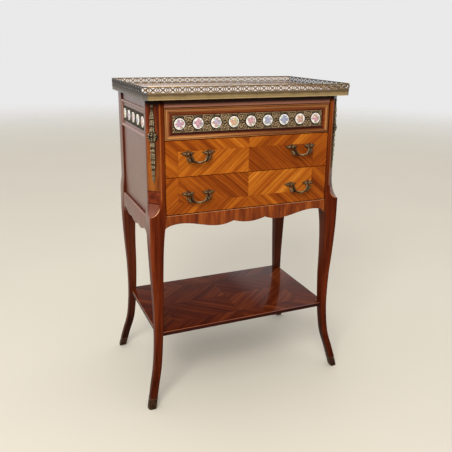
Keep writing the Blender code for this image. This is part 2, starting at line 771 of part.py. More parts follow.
def leaf_outline(across, level):
    """A rose's leaf: pointed at both ends, with a rippled edge."""
    outline = []
    for step in range(ROSE_POINTS):
        angle = 2 * math.pi * step / ROSE_POINTS
        ripple = (1.0 + ROSE_RIPPLE * math.cos(ROSE_RIPPLES * angle)) / (1.0 + ROSE_RIPPLE)
        point = abs(math.cos(angle)) ** ROSE_SHARPNESS
        reach = ROSE_HEIGHT + point * (ROSE_LENGTH - ROSE_HEIGHT)
        outline.append(
            (
                across + math.cos(angle) * ripple * reach / 2,
                level + math.sin(angle) * ripple * ROSE_HEIGHT / 2,
            )
        )
    return outline


def add_rose(name, across, level, drawer, bronze):
    """A leaf rose: a pointed leaf plate with a lug that takes the bail's pin."""
    face = -FRONT_Y + CLEAR
    leaf = [leaf_outline(across, level)]
    rose = plate(name, leaf, face, face + ROSE_THICK, FACING_FRONT, bronze, drawer)
    pivot = FRONT_Y - BAIL_STANDOFF
    lug = box(
        f"{name}_lug",
        (across - LUG_SIDE / 2, pivot - LUG_SIDE / 2, level - LUG_SIDE / 2),
        (across + LUG_SIDE / 2, -face - ROSE_THICK / 2, level + LUG_SIDE / 2),
    )
    combine(rose, lug, "UNION")
    drill = Matrix.Translation((across, pivot, level)) @ FACING_SIDE
    hole = rod(f"{name}_pin_hole", PIN_HOLE_RADIUS, LUG_SIDE + OVERRUN, drill, PIN_HOLE_SIDES)
    combine(rose, hole, "DIFFERENCE")


def add_corner_mount(side, sign, bronze):
    """A leaf drop on a front chamfer: a stem, a cluster of leaves and a tapering tail."""
    top = CARCASS_TOP - MOUNT_TOP_GAP
    right = []
    for share in spaced(0.0, 1.0, MOUNT_STEPS):
        swell = math.sqrt(math.sin(math.pi * min(share / MOUNT_SWELL_SHARE, 1.0)))
        stem = MOUNT_NECK_SHARE + (1.0 - MOUNT_NECK_SHARE) * swell
        cluster = math.exp(-(((share - MOUNT_CLUSTER_AT) / MOUNT_CLUSTER_SPREAD) ** 2))
        ripple = 1.0 + MOUNT_RIPPLE * math.cos(2 * math.pi * MOUNT_HUSKS * share)
        taper = min(1.0, (1.0 - share) / MOUNT_TAIL_SHARE + MOUNT_TIP_SHARE)
        width = MOUNT_WIDTH * stem + (MOUNT_CLUSTER_WIDTH - MOUNT_WIDTH) * cluster
        right.append((width * ripple * taper / 2, top - MOUNT_LENGTH * share))
    outline = right + [(-across, up) for across, up in reversed(right)]
    face = -POST_CHAMFER / math.sqrt(2)
    outward = corner_frame(sign, -1) @ Matrix.Rotation(-math.pi / 2, 4, "Y")
    plate(
        f"corner_mount_{side}",
        [outline],
        face + CLEAR,
        face + CLEAR + MOUNT_THICK,
        outward,
        bronze,
    )


def main():
    """Builds every piece."""
    start_scene()
    mahogany = finish("leg_mahogany", (0.23, 0.062, 0.022), 0.28)
    tulipwood = finish("drawer_tulipwood", (0.45, 0.17, 0.035), 0.25)
    panel_wood = finish("side_panel_veneer", (0.30, 0.10, 0.04), 0.22)
    moulding = finish("frieze_moulding", (0.40, 0.14, 0.035), 0.30)
    shelf_wood = finish("shelf_veneer", (0.20, 0.045, 0.018), 0.15)
    plain_wood = finish("plain_drawer_wood", (0.42, 0.28, 0.15), 0.6)
    brass = finish("aged_brass", (0.40, 0.30, 0.13), 0.38, 1.0)
    bronze = finish("patinated_bronze", (0.16, 0.13, 0.08), 0.45, 1.0)

    corners = (
        ("front_left", (-1, -1)),
        ("front_right", (1, -1)),
        ("rear_left", (-1, 1)),
        ("rear_right", (1, 1)),
    )
    for corner, signs in corners:
        add_leg(corner, signs, mahogany, bronze)
    for side, sign in (("left", -1), ("right", 1)):
        add_side(side, sign, panel_wood, panel_wood, moulding, bronze)
        add_corner_mount(side, sign, bronze)
    add_carcass_boards(mahogany, tulipwood, plain_wood)
    add_top(shelf_wood, brass)
    add_gallery(brass)
    add_shelf(shelf_wood)
    add_frieze_drawer(mahogany, moulding, bronze, plain_wood)
    add_drawer("middle_drawer", BOTTOM_TOP, MIDDLE_TOP, MIDDLE_HANDLE_RISE, tulipwood, plain_wood, bronze)
    add_drawer("bottom_drawer", LEG_HEIGHT, BOTTOM_TOP, BOTTOM_HANDLE_RISE, tulipwood, plain_wood, bronze)
    bpy.context.view_layer.update()


main()
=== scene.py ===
"""Looks of a nightstand: quartered veneers, chased bronze, pierced brass and painted porcelain.

Metres, +Z up, front towards -Y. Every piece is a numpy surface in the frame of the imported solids.
"""

from __future__ import annotations

import json
import logging
import math
from collections.abc import Callable, Sequence
from dataclasses import dataclass, field
from enum import Enum, IntEnum

import bmesh
import bpy
import numpy as np
from mathutils import Matrix, Vector

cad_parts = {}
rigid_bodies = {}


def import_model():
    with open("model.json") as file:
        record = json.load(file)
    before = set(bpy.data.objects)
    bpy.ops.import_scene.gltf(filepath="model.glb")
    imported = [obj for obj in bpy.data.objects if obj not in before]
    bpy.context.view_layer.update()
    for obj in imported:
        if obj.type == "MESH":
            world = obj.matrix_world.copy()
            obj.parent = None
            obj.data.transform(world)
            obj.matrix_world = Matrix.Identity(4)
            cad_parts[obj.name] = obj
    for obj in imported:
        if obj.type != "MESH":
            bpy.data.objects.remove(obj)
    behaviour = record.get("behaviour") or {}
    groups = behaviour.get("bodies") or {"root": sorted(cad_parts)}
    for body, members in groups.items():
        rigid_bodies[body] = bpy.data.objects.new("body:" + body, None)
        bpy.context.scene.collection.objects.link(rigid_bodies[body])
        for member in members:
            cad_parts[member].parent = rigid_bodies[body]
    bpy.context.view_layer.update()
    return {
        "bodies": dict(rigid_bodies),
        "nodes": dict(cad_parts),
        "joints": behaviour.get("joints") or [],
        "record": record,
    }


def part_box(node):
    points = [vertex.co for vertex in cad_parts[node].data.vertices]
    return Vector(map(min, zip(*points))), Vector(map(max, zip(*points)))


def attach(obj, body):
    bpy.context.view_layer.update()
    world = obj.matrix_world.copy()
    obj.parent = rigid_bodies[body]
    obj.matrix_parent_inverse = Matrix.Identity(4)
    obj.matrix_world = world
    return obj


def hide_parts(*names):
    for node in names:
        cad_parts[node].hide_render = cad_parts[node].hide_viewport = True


LOG = logging.getLogger("nightstand")
Array = np.ndarray
Material = bpy.types.Material
Colour = tuple[float, float, float]
Stops = tuple[tuple[float, Colour], ...]
Lift = Callable[[Array, Array, Array], Array]

CARCASS = "carcass"
SIDES = (("left", -1.0), ("right", 1.0))


class Facing(Enum):
    """Which way a flat piece looks, as the world axes of its across, up and out directions."""

    FRONT = ((1, 0, 0), (0, 0, 1), (0, -1, 0))
    LEFT = ((0, -1, 0), (0, 0, 1), (-1, 0, 0))
    RIGHT = ((0, 1, 0), (0, 0, 1), (1, 0, 0))
    UP = ((1, 0, 0), (0, 1, 0), (0, 0, 1))

    def lift(self, origin: Sequence[float] = (0, 0, 0)) -> Lift:
        """Gives the function that puts across, up and out distances from an origin into the world.

        Args:
            origin: World point where the three distances are zero.

        Returns:
            A function of three arrays that gives an array of points.
        """
        axes = np.array(self.value, float)
        base = np.array(origin, float)

        def placed(across: Array, up: Array, out: Array) -> Array:
            """Adds the three distances along their axes."""
            return base + np.stack(np.broadcast_arrays(across, up, out), axis=-1) @ axes

        return placed


class Axis(Enum):
    """The direction that a wood's grain runs in."""

    X = 0
    Y = 1
    Z = 2


class Lie(Enum):
    """The two world axes that span a quartered panel."""

    FRONT = (0, 2)
    SIDE = (1, 2)
    LEVEL = (0, 1)


def smooth(value: Array, low: float, high: float) -> Array:
    """A soft step: 3t^2 - 2t^3 of the share t of the way from low to high.

    Args:
        value: Values to judge.
        low: Where the step starts.
        high: Where the step ends.

    Returns:
        Shares from 0 to 1.
    """
    share = np.clip((value - low) / (high - low), 0.0, 1.0)
    return share * share * (3 - 2 * share)


def bell(value: Array, middle: float, width: float) -> Array:
    """A bell curve: e to minus the square of the distance from the middle over the width."""
    return np.exp(-(((value - middle) / width) ** 2))


def wave(angle: Array) -> Array:
    """A cosine wave between 0 and 1."""
    return 0.5 + 0.5 * np.cos(angle)


def turns(count: int) -> Array:
    """Angles spread evenly round a full turn."""
    return np.linspace(0.0, 2 * math.pi, count, endpoint=False)


def rounded(corners: Array, radius: Array | float, steps: int) -> Array:
    """Eases the corners of closed outlines: each becomes a quadratic arc between points a radius away.

    Args:
        corners: Outlines as arrays of corner points, along the last two axes.
        radius: Length of each arc's two arms, one for all or one for each outline.
        steps: Points in each arc.

    Returns:
        Outlines with every corner turned into an arc.
    """

    def arm(other: Array) -> Array:
        """The point a radius from each corner towards another."""
        run = other - corners
        length = np.maximum(np.linalg.norm(run, axis=-1, keepdims=True), 1e-9)
        return corners + run * np.minimum(radius / length, 0.45)

    start = arm(np.roll(corners, 1, axis=-2))[..., None, :]
    end = arm(np.roll(corners, -1, axis=-2))[..., None, :]
    t = np.linspace(0.0, 1.0, steps)[:, None]
    arcs = (1 - t) ** 2 * start + 2 * t * (1 - t) * corners[..., None, :] + t**2 * end
    return arcs.reshape(*corners.shape[:-2], -1, 2)


def drawn_in(outline: Array, insets: Array | Sequence[float]) -> Array:
    """Draws a closed outline in by several distances, with mitred corners.

    Each corner moves along the sum of its two edge normals over one plus their dot product.

    Args:
        outline: Corner points in anticlockwise order.
        insets: Distances inwards; a negative one goes outwards.

    Returns:
        One outline for each distance.
    """
    run = np.roll(outline, -1, axis=0) - outline
    normal = np.stack([run[:, 1], -run[:, 0]], axis=1)
    normal /= np.linalg.norm(normal, axis=1, keepdims=True)
    before = np.roll(normal, 1, axis=0)
    mitre = (normal + before) / (1 + np.sum(normal * before, axis=1))[:, None]
    return outline[None] - np.asarray(insets)[:, None, None] * mitre[None]


def rectangle(low: Sequence[float], high: Sequence[float]) -> Array:
    """Corner points of a rectangle in anticlockwise order."""
    return np.array([(low[0], low[1]), (high[0], low[1]), (high[0], high[1]), (low[0], high[1])], float)


def corners_of(node: str) -> tuple[Array, Array]:
    """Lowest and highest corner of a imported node."""
    low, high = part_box(node)
    return np.array(low), np.array(high)


class Shape:
    """Points and faces of one piece, gathered surface by surface."""

    def __init__(self) -> None:
        """Starts with no surface."""
        self.points: list[Array] = []
        self.faces: list[list[int]] = []
        self.slots: list[int] = []
        self.reliefs: list[Array] = []
        self.paints: list[Array] = []
        self.count = 0

    def grid(
        self,
        points: Array,
        around: bool = False,
        along: bool = False,
        ends: bool = False,
        slot: int | Array = 0,
        relief: Array | None = None,
        paint: Array | None = None,
    ) -> Shape:
        """Adds a surface from rows and columns of points.

        Args:
            points: Array of rows, columns and three coordinates.
            around: Joins the last column to the first.
            along: Joins the last row to the first.
            ends: Closes the first and last row with flat faces.
            slot: Material slot, or one for each column of faces.
            relief: Height share at each point, for chased metal.
            paint: Colour at each point, for painted pieces.

        Returns:
            The shape itself.
        """
        rows, columns = points.shape[:2]
        index = self.count + np.arange(rows * columns).reshape(rows, columns)
        flat = index
        index = np.concatenate([index, index[:, :1]], axis=1) if around else index
        index = np.concatenate([index, index[:1]], axis=0) if along else index
        quads = np.stack([index[:-1, :-1], index[:-1, 1:], index[1:, 1:], index[1:, :-1]], axis=-1)
        slots = np.broadcast_to(slot, quads.shape[:2]).ravel()
        self.faces += quads.reshape(-1, 4).tolist()
        self.slots += slots.tolist()
        if ends:
            self.faces += [flat[0, ::-1].tolist(), flat[-1].tolist()]
            self.slots += [0, 0]
        self.points.append(points.reshape(-1, 3))
        size = rows * columns
        self.reliefs.append(np.broadcast_to(1.0 if relief is None else relief, (rows, columns)).ravel())
        self.paints.append(np.ones((size, 3)) if paint is None else paint.reshape(-1, 3))
        self.count += size
        return self

    def tiled(self, template: Shape, frames: Array) -> Shape:
        """Adds copies of a template, each through its own frame.

        Args:
            template: Shape to repeat.
            frames: Array of 4 by 4 matrices.

        Returns:
            The shape itself.
        """
        local = np.concatenate(template.points)
        copies = np.einsum("nij,pj->npi", frames[:, :3, :3], local) + frames[:, None, :3, 3]
        faces = [[self.count + number * len(local) + corner for corner in face]
                 for number in range(len(frames)) for face in template.faces]
        self.points.append(copies.reshape(-1, 3))
        self.faces += faces
        self.slots += template.slots * len(frames)
        self.reliefs.append(np.tile(np.concatenate(template.reliefs), len(frames)))
        self.paints.append(np.tile(np.concatenate(template.paints), (len(frames), 1)))
        self.count += len(local) * len(frames)
        return self

    def build(self, name: str, materials: Sequence[Material], smooth_angle: float = 35.0) -> bpy.types.Object:
        """Makes the mesh object, with its faces turned outwards.

        Args:
            name: Name of the piece.
            materials: Materials for the slots in use.
            smooth_angle: Edges that turn by more degrees than this stay sharp.

        Returns:
            The linked object.
        """
        mesh = bpy.data.meshes.new(name)
        mesh.from_pydata(np.concatenate(self.points).tolist(), [], self.faces)
        tool = bmesh.new()
        tool.from_mesh(mesh)
        bmesh.ops.recalc_face_normals(tool, faces=tool.faces)
        tool.to_mesh(mesh)
        tool.free()
        mesh.polygons.foreach_set("use_smooth", np.ones(len(mesh.polygons), bool))
        mesh.polygons.foreach_set("material_index", np.array(self.slots, np.int32))
        mesh.set_sharp_from_angle(angle=math.radians(smooth_angle))
        relief = mesh.attributes.new("relief", "FLOAT", "POINT")
        relief.data.foreach_set("value", np.concatenate(self.reliefs).astype(np.float32))
        colours = np.column_stack([np.concatenate(self.paints), np.ones(self.count)])
        paint = mesh.attributes.new("paint", "FLOAT_COLOR", "POINT")
        paint.data.foreach_set("color", colours.astype(np.float32).ravel())
        piece = bpy.data.objects.new(name, mesh)
        bpy.context.scene.collection.objects.link(piece)
        for material in materials:
            mesh.materials.append(material)
        mesh.update()
        return piece


def place(piece: bpy.types.Object, body: str, slot: str, *nodes: str) -> None:
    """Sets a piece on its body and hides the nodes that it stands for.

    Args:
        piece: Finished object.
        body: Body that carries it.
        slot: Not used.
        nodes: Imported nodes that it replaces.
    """
    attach(piece, body)
    if nodes:
        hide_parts(*nodes)
    LOG.info("%s rides %s: %d faces", piece.name, body, len(piece.data.polygons))


def slab(outline: Array, low: float, high: float, ease: float, lift: Lift) -> Array:
    """A board with eased edges.

    Its outline is carried through the levels, drawn in along a quarter round at both faces.

    Args:
        outline: Plan of the board, anticlockwise.
        low: Level of its back face.
        high: Level of its front face.
        ease: Radius of the edges.
        lift: Puts plan and level into the world.

    Returns:
        Rows of points for a grid closed around and at its ends.
    """
    turn = np.linspace(0.0, math.pi / 2, 4)
    inset = ease * (1 - np.sin(turn))
    rise = ease * (1 - np.cos(turn))
    insets = np.concatenate([inset, inset[::-1]])
    levels = np.concatenate([low + rise, high - rise[::-1]])
    rings = drawn_in(outline, insets)
    return lift(rings[..., 0], rings[..., 1], levels[:, None])


def moulding(outline: Array, profile: Array, lift: Lift) -> Array:
    """A closed profile of inset and level carried round an outline with mitred corners.

    Args:
        outline: Closed path, anticlockwise.
        profile: Pairs of distance inwards and level.
        lift: Puts plan and level into the world.

    Returns:
        Rows of points for a grid closed both ways.
    """
    rings = drawn_in(outline, profile[:, 0])
    return lift(rings[..., 0], rings[..., 1], profile[:, 1][:, None])


def tube(path: Array, radii: Array, sides: int, flat: float = 1.0) -> Array:
    """A bar along a path that never runs along Y: rings of points in the plane across the path.

    Args:
        path: Points of the middle line.
        radii: Radius at each point, or at each point and side.
        sides: Points in a ring.
        flat: Ratio of the radius towards Y to the other one.

    Returns:
        Rows of points for a grid closed around and at its ends.
    """
    tangent = np.gradient(path, axis=0)
    tangent /= np.linalg.norm(tangent, axis=1, keepdims=True)
    side = np.cross(tangent, (0.0, 1.0, 0.0))
    side /= np.linalg.norm(side, axis=1, keepdims=True)
    third = np.cross(side, tangent)
    turn = turns(sides)
    wide = np.atleast_2d(radii).reshape(len(path), -1)
    across = (wide * np.cos(turn))[..., None] * side[:, None]
    return path[:, None] + across + (wide * flat * np.sin(turn))[..., None] * third[:, None]


# Shader building


class Value:
    """A shader value whose operators add Math nodes."""

    def __init__(self, graph: Graph, socket: bpy.types.NodeSocket) -> None:
        """Wraps an output socket of a graph."""
        self.graph = graph
        self.socket = socket

    def __add__(self, other: Value | float) -> Value:
        """Sum."""
        return self.graph.math("ADD", self, other)

    def __radd__(self, other: float) -> Value:
        """Sum with a number on the left."""
        return self.graph.math("ADD", other, self)

    def __sub__(self, other: Value | float) -> Value:
        """Difference."""
        return self.graph.math("SUBTRACT", self, other)

    def __rsub__(self, other: float) -> Value:
        """Difference from a number."""
        return self.graph.math("SUBTRACT", other, self)

    def __mul__(self, other: Value | float) -> Value:
        """Product."""
        return self.graph.math("MULTIPLY", self, other)

    def __rmul__(self, other: float) -> Value:
        """Product with a number on the left."""
        return self.graph.math("MULTIPLY", other, self)

    def __abs__(self) -> Value:
        """Size without sign."""
        return self.graph.math("ABSOLUTE", self)

    def sign(self) -> Value:
        """Minus one, zero or one."""
        return self.graph.math("SIGN", self)

    def below(self, limit: Value | float) -> Value:
        """One where the value is under a limit."""
        return self.graph.math("LESS_THAN", self, limit)

    def least(self, other: Value | float) -> Value:
        """The smaller of two values."""
        return self.graph.math("MINIMUM", self, other)

    def most(self, other: Value | float) -> Value:
        """The larger of two values."""
        return self.graph.math("MAXIMUM", self, other)

    def between(self, low: float, high: float) -> Value:
        """Share of the way from low to high, kept from 0 to 1 and eased."""
        inputs = {"Value": self, "From Min": low, "From Max": high}
        return self.graph.out("ShaderNodeMapRange", {"interpolation_type": "SMOOTHSTEP"}, inputs, "Result")


class Graph:
    """The node tree of one material or world, with the shader that it feeds."""

    def __init__(self, holder: Material | bpy.types.World, shader: str = "Principled BSDF") -> None:
        """Opens the tree of a new material or world."""
        holder.use_nodes = True
        self.holder = holder
        self.tree = holder.node_tree
        self.shader = self.tree.nodes[shader]

    def node(self, kind: str, settings: dict | None = None, inputs: dict | None = None) -> bpy.types.Node:
        """Adds a node, sets it and links it.

        Args:
            kind: Type of the node.
            settings: Properties set first; stops fill a colour ramp.
            inputs: Values or links by socket name or number.

        Returns:
            The node.
        """
        made = self.tree.nodes.new(kind)
        for key, setting in (settings or {}).items():
            if key == "stops":
                elements = made.color_ramp.elements
                for number, (at, colour) in enumerate(setting):
                    element = elements[number] if number < 2 else elements.new(at)
                    element.position = at
                    element.color = (*colour, 1.0)
            else:
                setattr(made, key, setting)
        for key, given in (inputs or {}).items():
            self.feed(made.inputs[key], given)
        return made

    def feed(self, socket: bpy.types.NodeSocket, given: Value | float | Sequence[float]) -> None:
        """Links a value to a socket, or sets the socket's own number or colour."""
        if isinstance(given, Value):
            self.tree.links.new(given.socket, socket)
        elif isinstance(given, tuple) and socket.type == "RGBA":
            socket.default_value = (*given, 1.0)
        else:
            socket.default_value = given

    def out(self, kind: str, settings: dict | None, inputs: dict | None, output: str | int = 0) -> Value:
        """Adds a node and gives one of its outputs."""
        return Value(self, self.node(kind, settings, inputs).outputs[output])

    def math(self, operation: str, first: Value | float, second: Value | float = 0.0) -> Value:
        """Adds a Math node."""
        return self.out("ShaderNodeMath", {"operation": operation}, {0: first, 1: second})

    def axes(self) -> list[Value]:
        """The three object coordinates."""
        where = self.out("ShaderNodeTexCoord", None, None, "Object")
        split = self.node("ShaderNodeSeparateXYZ", None, {0: where})
        return [Value(self, split.outputs[number]) for number in range(3)]

    def vector(self, x: Value | float, y: Value | float, z: Value | float) -> Value:
        """A vector from three values."""
        return self.out("ShaderNodeCombineXYZ", None, {0: x, 1: y, 2: z})

    def noise(self, where: Value, scale: float = 1.0, detail: float = 3.0, rough: float = 0.55) -> Value:
        """Smooth noise around one half."""
        inputs = {"Vector": where, "Scale": scale, "Detail": detail, "Roughness": rough}
        return self.out("ShaderNodeTexNoise", None, inputs, 0)

    def ramp(self, share: Value, stops: Sequence[tuple[float, Colour]]) -> Value:
        """A colour along a row of stops."""
        return self.out("ShaderNodeValToRGB", {"stops": stops}, {0: share})

    def mix(
        self, share: Value | float, first: Value | Colour, second: Value | Colour, blend: str = "MIX"
    ) -> Value:
        """A mix of two colours."""
        settings = {"data_type": "RGBA", "blend_type": blend}
        return self.out("ShaderNodeMix", settings, {0: share, 6: first, 7: second}, 2)

    def grey(self, level: Value) -> Value:
        """A grey colour from a value, to multiply with."""
        return self.vector(level, level, level)

    def bump(self, height: Value, depth: float, strength: float = 1.0) -> Value:
        """A normal from a height."""
        inputs = {"Height": height, "Distance": depth, "Strength": strength}
        return self.out("ShaderNodeBump", None, inputs)

    def dress(self, **sockets: Value | float | Colour) -> Material | bpy.types.World:
        """Feeds the shader's sockets, named with underscores, and gives the material or world."""
        for name, given in sockets.items():
            self.feed(self.shader.inputs[name.replace("_", " ").title().replace("Ior", "IOR")], given)
        return self.holder


@dataclass(frozen=True)
class GrainWood:
    """Polished straight-grained wood: long streaks, fine pores and, if wanted, another tone higher up.

    It may also carry painted highlight lines and painted shade under the top's overhang and towards the
    floor.
    """

    name: str
    stops: Stops
    run: Axis = Axis.Z
    streaks: float = 160.0
    length: float = 5.0
    gloss: float = 0.30
    specular: float = 0.12
    contrast: float = 1.3
    pores: float = 0.3
    upper: Stops | None = None
    change: tuple[float, float] = (0.44, 0.64)
    # Painted shade under the top's overhang: how dark, and between which two levels.
    overhang_shade: float = 0.0
    overhang_shade_at: tuple[float, float] = (0.7040, 0.7165)
    # Painted highlight lines beside a post's arrises: where, how wide, from which level and in what tone.
    highlight_line_at: tuple[float, float] | None = None
    highlight_line_width: tuple[float, float] = (0.0013, 0.0007)
    highlight_line_from: tuple[float, float] = (0.500, 0.506)
    highlight_line_tone: Colour = (0.40, 0.125, 0.030)
    coat: float = 0.0
    coat_gloss: float = 0.3
    # Painted shade towards the floor: how dark, and between which two levels.
    floor_shade: float = 0.0
    floor_shade_at: tuple[float, float] = (0.26, 0.02)

    def make(self) -> Material:
        """Streaks are noise stretched along the grain; pores are finer noise with a threshold.

        Painted highlight lines run up a post at given distances from the middle planes of the cabinet. The
        coat sets in with the upper tone, and painted shade darkens the wood under the top's overhang and
        towards the floor.

        Returns:
            The material.
        """
        graph = Graph(bpy.data.materials.new(self.name))
        axes = graph.axes()

        def stretched(across: float, along: float) -> Value:
            """Object coordinates with one scale across the grain and another along it."""
            scales = (along if number == self.run.value else across for number in range(3))
            return graph.vector(*[axis * scale for axis, scale in zip(axes, scales)])

        broad = graph.noise(stretched(self.streaks * 0.3, self.length * 0.6), 1.0, 2.0)
        streak = graph.noise(stretched(self.streaks, self.length), 1.0, 4.0, 0.65)
        pore = graph.noise(stretched(2600.0, 70.0), 1.0, 2.0)
        tone = (broad * 0.9 + streak * 0.9 - 0.9) * self.contrast + 0.5
        dark = pore.between(0.56, 0.72) * self.pores
        colour = graph.ramp(tone, self.stops)
        if self.upper:
            colour = graph.mix(axes[2].between(*self.change), colour, graph.ramp(tone, self.upper))
        # Painted highlight: lighter lines up a post beside its arrises.
        if self.highlight_line_at:
            front, side = (abs(abs(axis) - at).between(*self.highlight_line_width)
                           for axis, at in zip(axes, self.highlight_line_at))
            wear_and_sheen = front.most(side) * axes[2].between(*self.highlight_line_from) * (streak * 0.9)
            colour = graph.mix(wear_and_sheen, colour, self.highlight_line_tone)
        smear = graph.noise(stretched(22.0, 9.0), 1.0, 3.0)
        # Painted shade: the wood darkens under the top's overhang and towards the floor.
        clean_and_lit = 1 - axes[2].between(*self.overhang_shade_at) * self.overhang_shade - axes[2].between(*self.floor_shade_at) * self.floor_shade
        return graph.dress(
            base_color=graph.mix(1.0, colour, graph.grey(clean_and_lit - dark * clean_and_lit), "MULTIPLY"),
            roughness=self.gloss - 0.08 + smear * 0.16 + dark * 0.3,
            normal=graph.bump(1 - dark, 0.00008),
            specular_ior_level=self.specular,
            coat_weight=axes[2].between(*self.change) * self.coat,
            coat_roughness=self.coat_gloss,
        )


@dataclass(frozen=True)
class QuarteredVeneer:
    """Diagonal veneer matched in quarters round a centre, with a border where the stripes turn back."""

    name: str
    stops: Stops
    lie: Lie
    centre: tuple[float, float]
    seam: tuple[float, float]
    slope: float = 0.88
    shift: float = 0.30
    contrast: float = 1.0
    fineness: float = 1.0
    gloss: float = 0.30
    specular: float = 0.12
    coat: float = 0.0
    coat_gloss: float = 0.1
    coat_ior: float = 1.5
    polish_from: float = -1.0
    polish_to: float = -0.9

    def make(self) -> Material:
        """Stripes follow u sin a + t v cos a with u, v the distances from the centre lines.

        The turn t is one inside the seam rectangle and minus one outside it. Pieces whose stripes rise to
        the right are lighter by the shift, and by a sixth of it in the border. The coat sets in along the
        first axis where its polish is kept.

        Returns:
            The material.
        """
        graph = Graph(bpy.data.materials.new(self.name))
        axes = graph.axes()
        first = axes[self.lie.value[0]] - self.centre[0]
        second = axes[self.lie.value[1]] - self.centre[1]
        u, v = abs(first), abs(second)
        border = (u - self.seam[0]).most(v - self.seam[1])
        turn = border.below(0.0) * 2 - 1
        angle = math.atan(self.slope)
        turned = turn * v
        across = u * math.sin(angle) + turned * math.cos(angle)
        along = u * math.cos(angle) - turned * math.sin(angle)
        leaf = first.sign() * 3.1 + second.sign() * 5.7 + turn * 8.1
        rising = 0.5 - first.sign() * second.sign() * turn * 0.5
        sway = graph.noise(graph.vector(across * 12.0, along * 9.0, leaf + 40), 1.0, 1.0) * 0.006
        line = (across + sway) * self.fineness
        broad = graph.noise(graph.vector(line * 55.0, along * 2.0, leaf), 1.0, 1.0)
        stripe = graph.noise(graph.vector(line * 210.0, along * 3.0, leaf + 20), 1.0, 2.0).between(0.34, 0.66)
        fibre = graph.noise(graph.vector(across * 900.0, along * 16.0, leaf), 1.0, 2.0)
        pore = graph.noise(graph.vector(across * 1500.0, along * 60.0, leaf), 1.0, 2.0)
        figure = (broad * 0.8 + stripe * 0.28 + fibre * 0.6 - 0.84) * self.contrast
        tone = figure + 0.5 + (rising - 0.5) * (turn * 0.42 + 0.58) * self.shift
        seam = abs(border).least(u).least(v).between(0.0005, 0.0001)
        dark = pore.between(0.54, 0.74) * 0.3 + seam * 0.35
        smear = graph.noise(graph.vector(axes[0] * 30.0, axes[1] * 30.0, axes[2] * 30.0), 1.0, 3.0)
        return graph.dress(
            base_color=graph.mix(1.0, graph.ramp(tone, self.stops), graph.grey(1 - dark), "MULTIPLY"),
            roughness=self.gloss - 0.07 + smear * 0.14 + dark * 0.3,
            normal=graph.bump(1 - dark, 0.00006),
            specular_ior_level=self.specular,
            coat_weight=axes[self.lie.value[0]].between(self.polish_from, self.polish_to) * self.coat,
            coat_roughness=self.coat_gloss,
            coat_ior=self.coat_ior,
        )


@dataclass(frozen=True)
class AgedMetal:
    """Brass or bronze: bright on raised places, tarnished and green in the hollows."""

    name: str
    bright: Colour
    tarnish: Colour
    verdigris: Colour = (0.10, 0.13, 0.10)
    green: float = 0.3
    rough: float = 0.36
    spots: float = 130.0

    def make(self) -> Material:
        """Tarnish is a mix of noise and of the height kept in the relief attribute.

        Returns:
            The material.
        """
        graph = Graph(bpy.data.materials.new(self.name))
        where = graph.vector(*graph.axes())
        height = graph.out("ShaderNodeAttribute", {"attribute_name": "relief"}, None, "Fac")
        cloud = graph.noise(where, self.spots, 4.0, 0.6)
        grit = graph.noise(where, self.spots * 9, 3.0, 0.6)
        clean_and_lit = (height * 1.15 - 0.25 + (cloud - 0.5) * 0.9).between(0.0, 1.0)
        metal = graph.mix(clean_and_lit, self.tarnish, self.bright)
        mould = (cloud * 0.6 + grit * 0.4).between(0.5, 0.72) * (1.15 - height) * self.green
        colour = graph.mix(mould, metal, self.verdigris)
        return graph.dress(
            base_color=colour,
            metallic=1 - mould * 0.8,
            roughness=self.rough + 0.18 - clean_and_lit * 0.2 + grit * 0.12,
            normal=graph.bump(grit, 0.0001, 0.5),
        )


@dataclass(frozen=True)
class Porcelain:
    """Glazed white porcelain with painted flowers kept in the paint attribute."""

    name: str = "painted_porcelain"

    def make(self) -> Material:
        """The painted colour under faint kiln specks and a clear glaze.

        Returns:
            The material.
        """
        graph = Graph(bpy.data.materials.new(self.name))
        where = graph.vector(*graph.axes())
        painted = graph.out("ShaderNodeAttribute", {"attribute_name": "paint"}, None, "Color")
        speck = graph.noise(where, 900.0, 2.0)
        shade = 1 - speck.between(0.62, 0.8) * 0.12
        wave = graph.noise(where, 160.0, 2.0)
        return graph.dress(
            base_color=graph.mix(1.0, painted, graph.grey(shade), "MULTIPLY"),
            roughness=0.16 + speck * 0.12,
            normal=graph.bump(wave, 0.0002, 0.4),
            coat_weight=0.35,
            coat_roughness=0.08,
        )


@dataclass(frozen=True)
class PaleFloor:
    """Matt pale floor with a faint cloud."""

    name: str = "pale_floor"
    colour: Colour = (0.53, 0.49, 0.41)
    fade: tuple[float, float] = (7.0, 50.0)

    def make(self) -> Material:
        """A soft variation of one colour that fades out with the square of the distance.

        Returns:
            The material.
        """
        graph = Graph(bpy.data.materials.new(self.name))
        axes = graph.axes()
        where = graph.vector(*axes)
        cloud = graph.noise(where, 1.6, 3.0)
        shade = graph.grey(0.96 + cloud * 0.08)
        away = axes[0] * axes[0] + axes[1] * axes[1]
        return graph.dress(
            base_color=graph.mix(1.0, self.colour, shade, "MULTIPLY"),
            roughness=0.75,
            alpha=1 - away.between(*self.fade),
        )


def tones(dark: Colour, middle: Colour, light: Colour) -> Stops:
    """Ramp stops of a wood from three tones."""
    return (0.10, dark), (0.50, middle), (0.90, light)


